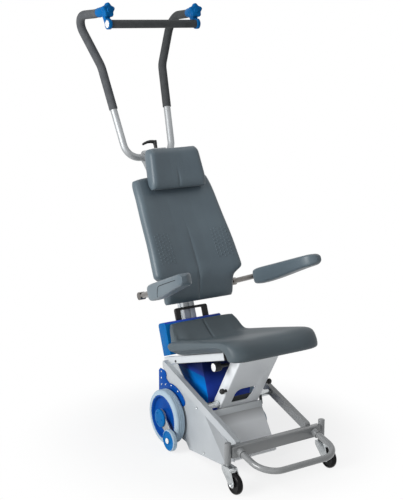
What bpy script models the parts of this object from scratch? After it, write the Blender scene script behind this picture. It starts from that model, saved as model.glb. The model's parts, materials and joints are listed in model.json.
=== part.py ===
"""Stair climbing chair: a battery stair climber with a reclined transport seat.

It stands on two main wheels and two castors. A motor turns the climbing cranks beside the main wheels. A mast
carries the back, the head pad, the armrests and the tilting push handle. Front is -Y, up is +Z, and the
origin is on the floor under the middle of the chair. "right" and "left" are the sitter's own sides.
"""

import math

import bmesh
import bpy
from mathutils import Matrix, Vector

# Fits
CONTACT_GAP = 0.0003
RUNNING_GAP = 0.0004
RUBBER_GAP = 0.0012

# Main wheels, measured from the axle
AXLE_Y = 0.0208
WHEEL_RADIUS = 0.105
WHEEL_WIDTH = 0.040
TYRE_DEPTH = 0.0195
TYRE_SHOULDER = 0.006
RIM_LIP = 0.006
RIM_INSET = 0.001
RIM_DISH = 0.013
RIM_WEB = 0.008
HUB_WALL = 0.014
AXLE_RADIUS = 0.012
SHAFT_RADIUS = 0.007
AXLE_FLANGE_RADIUS = 0.020
AXLE_FLANGE_DEPTH = 0.006

# Sheet-metal sides
PLATE_OUTER_X = 0.1425
PLATE_THICKNESS = 0.003
PLATE_FOOT_Z = 0.007
PLATE_TOE = (-0.336, 0.027)
PLATE_CHIN_Y = -0.400
PLATE_BACK_Z = 0.200
PLATE_BACK_RADIUS = 0.072
PLATE_HEEL = (-0.096, 0.030)
PLATE_SOLE_Y = -0.120
PLATE_LAP = 0.008
GUSSET_LENGTH = 0.095
WAIST_Y = -0.088
BRACKET_TOE = (-0.070, 0.060)
BRACKET_NECK = (-0.095, 0.130)
CREASE_Y = -0.2665
CREASE_Z = 0.1353
CREASE_SLOPE = math.radians(45.7)
CREASE_ANGLE = math.radians(14.0)
GUARD_THICKNESS = 0.003
GUARD_WIDTH = 0.035
GUARD_SWEEP = math.radians(134.0)
GUARD_LAP = 0.015
GUARD_TONGUE_REAR = 0.098
GUARD_TONGUE_FRONT = 0.044
GUARD_TONGUE_TOP = 0.270
GUARD_TONGUE_FOOT = 0.176
GUARD_CORNER = 0.011
WHEEL_SIDE_GAP = 0.0025

# Climbing cranks
CRANK_LENGTH = 0.102
CRANK_DROP = math.radians(35.5)
CRANK_THICKNESS = 0.006
CRANK_HUB_RADIUS = 0.034
CRANK_HUB_DEPTH = 0.011
CRANK_ARM_RADIUS = 0.014
CRANK_SOCKET_WALL = 0.002
CLIMB_WHEEL_RADIUS = 0.041
CLIMB_WHEEL_WIDTH = 0.018
CLIMB_PIN_RADIUS = 0.006
CLIMB_PIN_PROUD = 0.003
TREAD_CHAMFER = 0.003
TREAD_RIM = 0.008

# Castors and front frame
CASTOR_X = 0.204
CASTOR_REACH = 0.466
CASTOR_TRAIL = 0.046
CASTOR_WHEEL_RADIUS = 0.0375
CASTOR_WHEEL_WIDTH = 0.022
CASTOR_PIN_RADIUS = 0.004
CASTOR_SWING_GAP = 0.003
FORK_WALL = 0.0035
STEM_RADIUS = 0.006
STEM_LENGTH = 0.050
POST_RADIUS = 0.012
POST_BOTTOM_Z = 0.090
POST_TOP_Z = 0.169
CROSS_TUBE_DEPTH = 0.025
CROSS_TUBE_HEIGHT = 0.042
CROSS_TUBE_BOTTOM_Z = 0.112
CROSS_TUBE_WALL = 0.0025

# Footrest bar
FOOTREST_X = 0.163
FOOTREST_REACH = 0.6268
FOOTREST_RADIUS = 0.0112
FOOTREST_BEND = 0.075
FOOTREST_Z = 0.135
FOOTREST_DROP = math.radians(12.0)
SOCKET_RADIUS = 0.0147
SOCKET_LENGTH = 0.022

# Side rails, sloping down to the front frame
RAIL_SLOPE = math.radians(17.8)
RAIL_TOP_Z = 0.268
RAIL_TOP_AT_Y = -0.118
RAIL_HEIGHT = 0.030
RAIL_WIDTH = 0.020
RAIL_REAR_Y = 0.040
RAIL_EDGE = 0.004

# Front shield and support panel
SHIELD_TOP = (-0.2435, 0.196)
SHIELD_RIDGE_Z = 0.184
SHIELD_FOOT = (-0.345, 0.036)
SHIELD_LEFT_X = 0.095
PANEL_FOOT = (-0.233, 0.187)
PANEL_LEAN = math.radians(31.0)
PANEL_HALF_WIDTH = 0.087
PANEL_LENGTH = 0.300
FLANGE_DEPTH = 0.042
SHEET = 0.003
HAND_HOLE_WIDTH = 0.088
HAND_HOLE_HEIGHT = 0.072
HAND_HOLE_SLANT = 0.016
HAND_HOLE_T = 0.067
PANEL_SHAFT_Y = -0.229
PANEL_SHAFT_Z = 0.214
PANEL_SHAFT_RADIUS = 0.008
STOP_RADIUS = 0.010
STOP_LENGTH = 0.024
STOP_HEAD = 0.012
STOP_ROD_RADIUS = 0.0055
STOP_Y = -0.280
STOP_Z = 0.278
LOCK_KNOB_Y = -0.292
LOCK_KNOB_Z = 0.380
LOCK_KNOB_RADIUS = 0.0165
LOCK_KNOB_LENGTH = 0.028
LOCK_KNOB_STEM = 0.034

# Seat, in a frame that rises to the front along the seat rails
SEAT_HEEL_Y = 0.064
SEAT_HEEL_Z = 0.319
SEAT_TILT = math.radians(17.5)
SEAT_RAIL_WIDTH = 0.018
SEAT_RAIL_HEIGHT = 0.028
SEAT_RAIL_LENGTH = 0.425
SEAT_RAIL_EDGE = 0.003
SEAT_SIDE_LIFT = 0.012
SEAT_HALF_WIDTH = 0.187
SEAT_FRONT = 0.574
SEAT_CORNER = 0.035
SEAT_LIP_DROP = 0.040
SEAT_DISH_HEIGHT = 0.038
SEAT_BOLSTER = 0.020
SEAT_HEEL_FRONT = 0.150
UPSTAND_HALF_WIDTH = 0.138
UPSTAND_FALL = 0.024
UPSTAND_HEIGHT = 0.123
UPSTAND_TOP_FRONT = 0.108
UPSTAND_THICKNESS = 0.026

# Drive and battery, in the recline frame
DRIVE_HALF_WIDTH = 0.095
DRIVE_TOP = -0.205
DRIVE_FRONT = 0.084
DRIVE_SKIRT = 0.062
DRIVE_EDGE = 0.006
BATTERY_RIGHT_X = 0.150
BATTERY_LEFT_X = 0.103
BATTERY_TOP = -0.061
BATTERY_BOTTOM = -0.1855
BATTERY_FRONT = -0.036
CARRY_HALF_WIDTH = 0.073
CARRY_LEG = 0.026
CARRY_TOP = -0.014
CARRY_BAR = 0.014
CARRY_DEPTH = 0.012

# Mast and back, in the recline frame whose origin is the foot of the back
BACK_FOOT_Y = 0.030
BACK_FOOT_Z = 0.533
RECLINE = math.radians(20.2)
MAST_HALF_WIDTH = 0.025
MAST_DEPTH = 0.045
MAST_RISE = 0.087
SLOT_WIDTH = 0.009
SLOT_DEPTH = 0.006
BACK_LENGTH = 0.483
BACK_STATIONS = ((0.0, 0.016), (0.110, 0.044), (0.190, 0.034), (0.290, 0.012), (0.390, -0.009))
BACK_TOP_FRONT = -0.033
BACK_DISH = 0.007
BACK_GROOVE = 0.003
BACK_GROOVE_TOP = 0.260
BACK_THICKNESS = 0.040
PAD_ROLL = 0.020
PAD_END = 0.026
PAD_PINCH = 0.012
BACK_TOP_HALF_WIDTH = 0.169
BACK_WIDEST = 0.195
BACK_WIDEST_AT = 0.115
TONGUE_HALF_WIDTH = 0.152
TONGUE_TOP = 0.072
SHELL_THICKNESS = 0.004
SHELL_MARGIN = 0.018
HEAD_OVERLAP = 0.043
HEAD_HEIGHT = 0.150
HEAD_TAPER = 0.006
HEAD_DISH = 0.003
HEAD_GROOVE = 0.0025
HEAD_GROOVE_TOP = 0.055
HEAD_HALF_WIDTH = 0.121
HEAD_THICKNESS = 0.056
HEAD_FRONT = 0.023
HEAD_ROD_X = 0.045
HEAD_ROD_RADIUS = 0.005
HEAD_ROD_TAIL = 0.075
HEAD_ROD_RISE = 0.047
HEAD_ROD_STEP = 0.020
HEAD_ROD_CLEAR = 0.0015
HEAD_ROD_BEND = 0.014
HEAD_ROD_WALL = 0.009
UPPER_BRACKET_BELOW = 0.073
UPPER_BRACKET_HEIGHT = 0.035
LOWER_BRACKET = (0.030, 0.150)
LOWER_BRACKET_PAD = 0.030
LOWER_BRACKET_WALL = 0.008
BRACKET_GAP = 0.001

# Armrests
ARM_PIVOT_U = 0.054
ARM_PIVOT_V = -0.070
ARM_AXLE_RADIUS = 0.010
ARM_AXLE_HALF = 0.196
ARM_PIN_RADIUS = 0.006
ARM_HUB_RADIUS = 0.015
ARM_HUB_WIDTH = 0.024
ARM_HUB_WALL = 0.004
ARM_TUBE_RADIUS = 0.0105
ARM_SPLAY = math.radians(7.0)
ARM_PAD_START = 0.138
ARM_PAD_LENGTH = 0.340
ARM_PAD_WIDTH = 0.058
ARM_PAD_HEIGHT = 0.055
ARM_PAD_TIP_HEIGHT = 0.037
ARM_PAD_OFFSET = 0.009
ARM_PAD_DIP = 0.006
ARM_PAD_TIP = 0.050
ARM_PAD_HEEL = 0.014
ARM_PLUG = 0.060

# Push handle, measured from its pivot on the mast head
HANDLE_PIVOT_RISE = 0.036
HANDLE_SET_BACK = 0.037
HANDLE_RADIUS = 0.014
HANDLE_FOOT_HALF = 0.104
HANDLE_KINK = (0.140, 0.380, -0.008)
HANDLE_CROWN = (0.222, 0.572, 0.004)
HANDLE_END = (0.198, 0.531, 0.203)
HANDLE_BENDS = (0.062, 0.120, 0.055)
SLEEVE_START_U = 0.202
SLEEVE_GAP = 0.0007
SLEEVE_WALL = 0.0024
SLEEVE_END_GAP = 0.0025
HEAD_CLAMP_WALL = 0.012
HEAD_CLAMP_HALF = 0.030
HEAD_STEP = 0.016
HEAD_HEEL = 0.085
LEVER_SET_BACK = 0.026
LEVER_LENGTH = 0.058
LEVER_STEM = 0.034
LEVER_STEM_RADIUS = 0.007
LEVER_ARM_RADIUS = 0.0045
PUSH_BAR_RADIUS = 0.016
PUSH_BAR_HALF = 0.203
PUSH_BAR_DROP = 0.055
PUSH_BAR_AHEAD = 0.012
BAR_CLAMP_WIDTH = 0.022
BAR_CLAMP_WALL = 0.004
BAR_CLAMP_LENGTH = 0.050
BAR_CLAMP_NOSE = 0.012
STAR_RADIUS = 0.0285
STAR_LOBES = 5
STAR_DEPTH = 0.020

# Worked out from the sizes above
WHEEL_INNER_X = PLATE_OUTER_X + CONTACT_GAP + GUARD_THICKNESS + WHEEL_SIDE_GAP
WHEEL_OUTER_X = WHEEL_INNER_X + WHEEL_WIDTH
RIM_RADIUS = WHEEL_RADIUS - TYRE_DEPTH
PLATE_INNER_X = PLATE_OUTER_X - PLATE_THICKNESS
CROSS_TUBE_REAR_Y = CROSS_TUBE_DEPTH / 2 - CASTOR_REACH
HEAD_BOTTOM = BACK_LENGTH - HEAD_OVERLAP
HEAD_ROD_TOP = BACK_LENGTH + HEAD_ROD_RISE
UPPER_BRACKET_TOP = BACK_LENGTH - UPPER_BRACKET_BELOW
UPPER_BRACKET_FOOT = UPPER_BRACKET_TOP - UPPER_BRACKET_HEIGHT
HEAD_ROD_BOTTOM = UPPER_BRACKET_FOOT - HEAD_ROD_TAIL
HEAD_ROD_V = BACK_TOP_FRONT - BACK_THICKNESS - SHELL_THICKNESS - HEAD_ROD_CLEAR - HEAD_ROD_RADIUS
MAST_FRONT = HEAD_ROD_V - HEAD_ROD_RADIUS - HEAD_ROD_CLEAR
MAST_BACK = MAST_FRONT - MAST_DEPTH
MAST_TOP = BACK_LENGTH + MAST_RISE
HANDLE_PIVOT_U = MAST_TOP + HANDLE_PIVOT_RISE
HANDLE_PIVOT_V = MAST_BACK - HANDLE_SET_BACK
LEVER_V = MAST_FRONT - LEVER_SET_BACK

SIDES = (("right", -1), ("left", 1))
SIDE_VIEW = Matrix(((0, 0, 1), (1, 0, 0), (0, 1, 0))).to_4x4()
FRONT_VIEW = Matrix(((1, 0, 0), (0, 0, -1), (0, 1, 0))).to_4x4()

FINISHES = {
    "silver": ((0.60, 0.62, 0.64), 0.35, 0.9),
    "painted_grey": ((0.49, 0.52, 0.55), 0.45, 0.3),
    "zinc": ((0.72, 0.74, 0.75), 0.35, 0.9),
    "blue": ((0.02, 0.16, 0.47), 0.40, 0.0),
    "foam_grip": ((0.08, 0.085, 0.09), 0.85, 0.0),
    "pad": ((0.09, 0.115, 0.13), 0.55, 0.0),
    "black": ((0.012, 0.012, 0.013), 0.50, 0.0),
    "tyre": ((0.40, 0.48, 0.53), 0.80, 0.0),
}


def start_scene():
    for obj in list(bpy.data.objects):
        bpy.data.objects.remove(obj, do_unlink=True)
    collections = []
    for name in ("stair_climbing_chair", "cutters"):
        collection = bpy.data.collections.new(name)
        bpy.context.scene.collection.children.link(collection)
        collections.append(collection)
    return collections


PARTS, CUTTERS = start_scene()


def finish_material(name, finish):
    colour, roughness, metallic = FINISHES[finish]
    material = bpy.data.materials.new(f"{name}_{finish}")
    material.use_nodes = True
    shader = material.node_tree.nodes["Principled BSDF"]
    shader.inputs["Base Color"].default_value = (*colour, 1.0)
    shader.inputs["Roughness"].default_value = roughness
    shader.inputs["Metallic"].default_value = metallic
    return material


def add_frame(name, parent=None, location=(0, 0, 0), turn_x=0.0):
    frame = bpy.data.objects.new(name, None)
    PARTS.objects.link(frame)
    frame.parent = parent
    frame.location = location
    frame.rotation_euler = (turn_x, 0, 0)
    return frame


def add_part(name, mesh, finish, parent, place=None):
    obj = bpy.data.objects.new(name, mesh)
    PARTS.objects.link(obj)
    obj.parent = parent
    obj.matrix_local = place if place is not None else Matrix()
    mesh.name = name
    mesh.materials.clear()
    mesh.materials.append(finish_material(name, finish))
    mesh.shade_smooth()
    mesh.set_sharp_from_angle(angle=math.radians(32))
    return obj


def add_tool(name, mesh, parent, place=None):
    tool = bpy.data.objects.new(f"{name}_tool", mesh)
    CUTTERS.objects.link(tool)
    tool.parent = parent
    tool.matrix_local = place if place is not None else Matrix()
    tool.hide_render = True
    tool.display_type = "WIRE"
    return tool


def combine(obj, tool, operation):
    boolean = obj.modifiers.new(operation.lower(), "BOOLEAN")
    boolean.operation = operation
    boolean.object = tool
    boolean.solver = "EXACT"


def cut(obj, mesh, place=None, parent=None):
    combine(obj, add_tool(obj.name, mesh, parent or obj.parent, place), "DIFFERENCE")


def join(obj, mesh, place=None, parent=None):
    combine(obj, add_tool(obj.name, mesh, parent or obj.parent, place), "UNION")


def soften(obj, width, segments=2):
    bevel = obj.modifiers.new("bevel", "BEVEL")
    bevel.width = width
    bevel.segments = segments
    bevel.limit_method = "ANGLE"
    bevel.angle_limit = math.radians(40)


def at(x=0.0, y=0.0, z=0.0):
    return Matrix.Translation((x, y, z))


def mesh_of(bm, name):
    mesh = bpy.data.meshes.new(name)
    bm.normal_update()
    bm.to_mesh(mesh)
    bm.free()
    return mesh


def box_mesh(low, high):
    low = Vector(low)
    high = Vector(high)
    bm = bmesh.new()
    bmesh.ops.create_cube(bm, size=1.0)
    bmesh.ops.scale(bm, vec=high - low, verts=bm.verts)
    bmesh.ops.translate(bm, vec=(low + high) / 2, verts=bm.verts)
    return mesh_of(bm, "box")


def rod_mesh(radius, x_low, x_high, segments=24):
    """Solid round bar along X."""
    bm = bmesh.new()
    middle = (x_low + x_high) / 2
    place = Matrix.Translation((middle, 0, 0)) @ Matrix.Rotation(math.pi / 2, 4, "Y")
    long = x_high - x_low
    bmesh.ops.create_cone(
        bm, cap_ends=True, segments=segments, radius1=radius, radius2=radius, depth=long, matrix=place
    )
    return mesh_of(bm, "rod")


def mesh_from_curve(curve):
    holder = bpy.data.objects.new("curve_holder", curve)
    bpy.context.scene.collection.objects.link(holder)
    depsgraph = bpy.context.evaluated_depsgraph_get()
    mesh = bpy.data.meshes.new_from_object(holder.evaluated_get(depsgraph))
    bpy.data.objects.remove(holder, do_unlink=True)
    bpy.data.curves.remove(curve)
    bm = bmesh.new()
    bm.from_mesh(mesh)
    bmesh.ops.remove_doubles(bm, verts=bm.verts, dist=0.000001)
    bmesh.ops.dissolve_degenerate(bm, edges=bm.edges, dist=0.000001)
    bm.to_mesh(mesh)
    bm.free()
    return mesh


def tube_mesh(path, radius, resolution=4, capped=True):
    curve = bpy.data.curves.new("tube", "CURVE")
    curve.dimensions = "3D"
    spline = curve.splines.new("POLY")
    spline.points.add(len(path) - 1)
    for point, place in zip(spline.points, path):
        point.co = (*place, 1.0)
    curve.bevel_depth = radius
    curve.bevel_resolution = resolution
    curve.use_fill_caps = capped
    return mesh_from_curve(curve)


def plate_mesh(outline, thickness, holes=()):
    """Flat sheet: an outline with holes, half the thickness to each side of its plane."""
    curve = bpy.data.curves.new("plate", "CURVE")
    curve.dimensions = "2D"
    curve.fill_mode = "BOTH"
    curve.extrude = thickness / 2
    for loop in (outline, *holes):
        spline = curve.splines.new("POLY")
        spline.points.add(len(loop) - 1)
        spline.use_cyclic_u = True
        for point, (a, b) in zip(spline.points, loop):
            point.co = (a, b, 0, 1.0)
    return mesh_from_curve(curve)


def circle(radius, centre=(0, 0), count=24):
    turns = [math.tau * i / count for i in range(count)]
    return [(centre[0] + radius * math.cos(t), centre[1] + radius * math.sin(t)) for t in turns]


def arc(radius, start, end, centre=(0, 0), count=12):
    """Points on an arc between two angles in degrees, from the +a axis towards +b."""
    angles = [math.radians(start + (end - start) * i / count) for i in range(count + 1)]
    return [(centre[0] + radius * math.cos(t), centre[1] + radius * math.sin(t)) for t in angles]


def rounded(corners, radius, steps=5, closed=True):
    """Polyline in any dimension whose corners are replaced by arcs of the given radii."""
    corners = [Vector(corner) for corner in corners]
    count = len(corners)
    radii = [radius] * count if isinstance(radius, (int, float)) else list(radius)
    points = []
    for i, corner in enumerate(corners):
        inner = closed or 0 < i < count - 1
        if not inner or radii[i] <= 0:
            points.append(tuple(corner))
            continue
        before = (corners[i - 1] - corner).normalized()
        after = (corners[(i + 1) % count] - corner).normalized()
        angle = before.angle(after)
        reach = radii[i] / math.tan(angle / 2)
        bisector = (before + after).normalized()
        centre = corner + bisector * (radii[i] / math.sin(angle / 2))
        first = corner + before * reach - centre
        last = corner + after * reach - centre
        sweep = first.angle(last)
        for k in range(steps + 1):
            t = k / steps
            blend = (math.sin((1 - t) * sweep) * first + math.sin(t * sweep) * last) / math.sin(sweep)
            points.append(tuple(centre + blend))
    return points


def rectangle(low, high):
    return [(low[0], low[1]), (high[0], low[1]), (high[0], high[1]), (low[0], high[1])]


def turned_mesh(profile, steps=28, closed=False):
    """Turned shape about Z from (radius, height) points that run down the outer side."""
    bm = bmesh.new()
    corners = [bm.verts.new((radius, 0, height)) for radius, height in profile]
    for first, last in zip(corners, corners[1:]):
        bm.edges.new((first, last))
    if closed:
        bm.edges.new((corners[-1], corners[0]))
    holder = bpy.data.objects.new("turned", mesh_of(bm, "profile"))
    bpy.context.scene.collection.objects.link(holder)
    screw = holder.modifiers.new("screw", "SCREW")
    screw.axis = "Z"
    screw.steps = steps
    screw.render_steps = steps
    screw.use_merge_vertices = True
    screw.merge_threshold = 0.00001
    depsgraph = bpy.context.evaluated_depsgraph_get()
    mesh = bpy.data.meshes.new_from_object(holder.evaluated_get(depsgraph))
    bpy.data.objects.remove(holder, do_unlink=True)
    return mesh


def one_side(sign, near, far):
    """Ends along X, low end first, of a span on one side of the chair."""
    return sorted((sign * near, sign * far))


def outward(sign):
    """Turns a shape made about Z so that its top points away from the middle of the chair."""
    return Matrix.Rotation(sign * math.pi / 2, 4, "Y")


def loft_mesh(rings):
    """Closed body through rings of equal point counts."""
    bm = bmesh.new()
    loops = [[bm.verts.new(point) for point in ring] for ring in rings]
    for near, far in zip(loops, loops[1:]):
        for i, vert in enumerate(near):
            j = (i + 1) % len(near)
            bm.faces.new((vert, near[j], far[j], far[i]))
    bm.faces.new(loops[0])
    bm.faces.new(loops[-1])
    bmesh.ops.recalc_face_normals(bm, faces=bm.faces)
    return mesh_of(bm, "loft")


def spread(low, high, shares):
    """Values between low and high, given by their shares of the way."""
    return [low + (high - low) * share for share in shares]


def smooth_step(low, high, value):
    t = min(max((value - low) / (high - low), 0.0), 1.0)
    return t * t * (3 - 2 * t)


def through(stations, value):
    """Smooth curve through (place, height) stations."""
    if value <= stations[0][0]:
        return stations[0][1]
    for (a, low), (b, high) in zip(stations, stations[1:]):
        if value <= b:
            return low + (high - low) * smooth_step(a, b, value)
    return stations[-1][1]


CHASSIS = add_frame("chassis_frame", location=(0, AXLE_Y, 0))
SEAT = add_frame("seat_frame", CHASSIS, (0, SEAT_HEEL_Y, SEAT_HEEL_Z), -SEAT_TILT)
BACK = add_frame("recline_frame", CHASSIS, (0, BACK_FOOT_Y, BACK_FOOT_Z), -RECLINE)


def in_recline(y, z):
    """Chassis side-view point as (v, u): ahead of and above the foot of the back."""
    dy = y - BACK_FOOT_Y
    dz = z - BACK_FOOT_Z
    v = -dy * math.cos(RECLINE) + dz * math.sin(RECLINE)
    u = dy * math.sin(RECLINE) + dz * math.cos(RECLINE)
    return v, u


AXLE_V, AXLE_U = in_recline(0.0, WHEEL_RADIUS)


def back_outline(points):
    """(v, u) points as the recline frame's own (y, z)."""
    return [(-v, u) for v, u in points]


def rail_top(y):
    return RAIL_TOP_Z + (y - RAIL_TOP_AT_Y) * math.tan(RAIL_SLOPE)


def rail_bottom(y):
    return rail_top(y) - RAIL_HEIGHT / math.cos(RAIL_SLOPE)


def main_wheels():
    half = WHEEL_WIDTH / 2
    middle = (WHEEL_INNER_X + WHEEL_OUTER_X) / 2
    shoulder = TYRE_SHOULDER
    seat_radius = RIM_RADIUS + CONTACT_GAP
    tyre = [
        (WHEEL_RADIUS - shoulder, half),
        (WHEEL_RADIUS - shoulder / 3, half - shoulder / 3),
        (WHEEL_RADIUS, half - shoulder),
        (WHEEL_RADIUS, shoulder - half),
        (WHEEL_RADIUS - shoulder / 3, shoulder / 3 - half),
        (WHEEL_RADIUS - shoulder, -half),
        (seat_radius, -half),
        (seat_radius, half),
    ]
    face = half - RIM_INSET
    dish = half - RIM_DISH
    web = dish - RIM_WEB
    hub = AXLE_RADIUS + HUB_WALL
    bore = AXLE_RADIUS + RUNNING_GAP
    rim = [
        (RIM_RADIUS, face),
        (RIM_RADIUS, -face),
        (RIM_RADIUS - RIM_LIP, -face),
        (RIM_RADIUS - 2 * RIM_LIP, web),
        (hub, web),
        (hub, -face),
        (bore, -face),
        (bore, face),
        (hub, face),
        (hub + RIM_LIP, dish),
        (RIM_RADIUS - 2.5 * RIM_LIP, dish),
        (RIM_RADIUS - RIM_LIP, face),
    ]
    for side, sign in SIDES:
        place = at(sign * middle, 0, WHEEL_RADIUS) @ outward(sign)
        add_part(f"tyre_{side}", turned_mesh(tyre, 28, closed=True), "tyre", CHASSIS, place)
        add_part(f"rim_{side}", turned_mesh(rim, 28, closed=True), "blue", CHASSIS, place)


def wheel_axles():
    """Hollow stub axles, from the drive housing out through the wheels."""
    start = DRIVE_HALF_WIDTH + CONTACT_GAP
    length = WHEEL_OUTER_X - start
    bore = SHAFT_RADIUS + RUNNING_GAP
    profile = [
        (bore, length),
        (AXLE_RADIUS, length),
        (AXLE_RADIUS, AXLE_FLANGE_DEPTH),
        (AXLE_FLANGE_RADIUS, AXLE_FLANGE_DEPTH),
        (AXLE_FLANGE_RADIUS, 0.0),
        (bore, 0.0),
    ]
    for side, sign in SIDES:
        place = at(sign * start, 0, WHEEL_RADIUS) @ outward(sign)
        add_part(f"wheel_axle_{side}", turned_mesh(profile, 18, closed=True), "silver", CHASSIS, place)


def crank_end():
    """Side-view place of the climbing wheel's pin."""
    return -CRANK_LENGTH * math.cos(CRANK_DROP), WHEEL_RADIUS - CRANK_LENGTH * math.sin(CRANK_DROP)


def climbing_drive():
    inner = WHEEL_OUTER_X + RUBBER_GAP
    shaft_end = inner + CRANK_HUB_DEPTH - CRANK_SOCKET_WALL
    shaft = rod_mesh(SHAFT_RADIUS, -shaft_end, shaft_end)
    add_part("climb_shaft", shaft, "zinc", CHASSIS, at(z=WHEEL_RADIUS))
    end_y, end_z = crank_end()
    arm_start = CRANK_HUB_RADIUS * 0.8
    gap = math.degrees(math.asin((arm_start - CRANK_ARM_RADIUS) / CRANK_LENGTH))
    turn = 180 + math.degrees(CRANK_DROP)
    hub_arc = arc(arm_start, turn + 90 + gap, turn + 270 - gap, count=10)
    pin_arc = arc(CRANK_ARM_RADIUS, turn - 90 - gap, turn + 90 + gap, (end_y, end_z - WHEEL_RADIUS), 6)
    web = hub_arc + pin_arc
    wheel_inner = inner + CRANK_THICKNESS + RUBBER_GAP
    pin_end = wheel_inner + CLIMB_WHEEL_WIDTH + CLIMB_PIN_PROUD
    half = CLIMB_WHEEL_WIDTH / 2
    chamfer = TREAD_CHAMFER
    bore = CLIMB_PIN_RADIUS + RUNNING_GAP
    tread = [
        (CLIMB_WHEEL_RADIUS - chamfer, half),
        (CLIMB_WHEEL_RADIUS, half - chamfer),
        (CLIMB_WHEEL_RADIUS, chamfer - half),
        (CLIMB_WHEEL_RADIUS - chamfer, -half),
        (bore, -half),
        (bore, half),
        (2 * CLIMB_PIN_RADIUS, half),
        (2 * CLIMB_PIN_RADIUS + chamfer, half - chamfer),
        (CLIMB_WHEEL_RADIUS - TREAD_RIM - chamfer, half - chamfer),
        (CLIMB_WHEEL_RADIUS - TREAD_RIM, half),
    ]
    for side, sign in SIDES:
        hub = at(z=WHEEL_RADIUS)
        web_place = at(sign * (inner + CRANK_THICKNESS / 2), 0, WHEEL_RADIUS) @ SIDE_VIEW
        mesh = plate_mesh(web, CRANK_THICKNESS)
        crank = add_part(f"climb_crank_{side}", mesh, "silver", CHASSIS, web_place)
        join(crank, rod_mesh(CRANK_HUB_RADIUS, *one_side(sign, inner, inner + CRANK_HUB_DEPTH), 24), hub)
        pin = rod_mesh(CLIMB_PIN_RADIUS, *one_side(sign, inner + CRANK_SOCKET_WALL, pin_end), 16)
        join(crank, pin, at(0, end_y, end_z))
        socket = rod_mesh(SHAFT_RADIUS + CONTACT_GAP, *one_side(sign, 0, shaft_end + CONTACT_GAP))
        cut(crank, socket, hub)
        wheel_place = at(sign * (wheel_inner + CLIMB_WHEEL_WIDTH / 2), end_y, end_z) @ outward(sign)
        add_part(f"climb_wheel_{side}", turned_mesh(tread, 20, closed=True), "blue", CHASSIS, wheel_place)


def castors():
    wheel_y = -CASTOR_REACH - CASTOR_TRAIL
    slot = CASTOR_WHEEL_WIDTH / 2 + RUBBER_GAP
    half = slot + FORK_WALL
    crown_top = POST_BOTTOM_Z - CONTACT_GAP
    crown_bottom = 2 * CASTOR_WHEEL_RADIUS + 0.004
    stem_top = POST_BOTTOM_Z + STEM_LENGTH
    wheel_half = CASTOR_WHEEL_WIDTH / 2
    pin_bore = CASTOR_PIN_RADIUS + RUNNING_GAP
    wheel = [
        (CASTOR_WHEEL_RADIUS - 0.006, wheel_half),
        (CASTOR_WHEEL_RADIUS - 0.001, wheel_half - 0.004),
        (CASTOR_WHEEL_RADIUS, 0),
        (CASTOR_WHEEL_RADIUS - 0.001, 0.004 - wheel_half),
        (CASTOR_WHEEL_RADIUS - 0.006, -wheel_half),
        (pin_bore, -wheel_half),
        (pin_bore, wheel_half),
    ]
    cheek = [
        (POST_RADIUS + 0.003, crown_top),
        (POST_RADIUS + 0.003, crown_bottom - 0.006),
        (-CASTOR_TRAIL + 0.012, CASTOR_WHEEL_RADIUS - 0.012),
        (-CASTOR_TRAIL - 0.012, CASTOR_WHEEL_RADIUS - 0.012),
        (-CASTOR_TRAIL - 0.012, CASTOR_WHEEL_RADIUS + 0.010),
        (-CASTOR_TRAIL + 0.012, crown_top),
    ]
    cheek = rounded(cheek, (0.004, 0.010, 0.010, 0.010, 0.010, 0.006), 2)
    root = crown_top - FORK_WALL
    stem = [(0, stem_top), (STEM_RADIUS, stem_top), (STEM_RADIUS, root), (0, root)]
    for side, sign in SIDES:
        swivel = at(sign * CASTOR_X, -CASTOR_REACH, 0)
        mesh = plate_mesh(cheek, 2 * half)
        fork = add_part(f"castor_fork_{side}", mesh, "zinc", CHASSIS, swivel @ SIDE_VIEW)
        gap_box = box_mesh((-slot, -0.2, -0.05), (slot, POST_RADIUS - 0.002, crown_bottom))
        cut(fork, gap_box, swivel)
        join(fork, turned_mesh(stem, 16), swivel)
        axis = at(sign * CASTOR_X, wheel_y, CASTOR_WHEEL_RADIUS)
        join(fork, rod_mesh(CASTOR_PIN_RADIUS, -half - 0.003, half + 0.003, 12), axis)
        mesh = turned_mesh(wheel, 20, closed=True)
        add_part(f"castor_wheel_{side}", mesh, "black", CHASSIS, axis @ outward(1))


def post_profile():
    """Castor post with a blind bore for the fork's stem."""
    bore = STEM_RADIUS + RUNNING_GAP
    bore_top = POST_BOTTOM_Z + STEM_LENGTH + 0.004
    chamfer = 0.002
    return [
        (0, POST_TOP_Z),
        (POST_RADIUS - chamfer, POST_TOP_Z),
        (POST_RADIUS, POST_TOP_Z - chamfer),
        (POST_RADIUS, POST_BOTTOM_Z),
        (bore, POST_BOTTOM_Z),
        (bore, bore_top),
        (0, bore_top),
    ]


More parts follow.
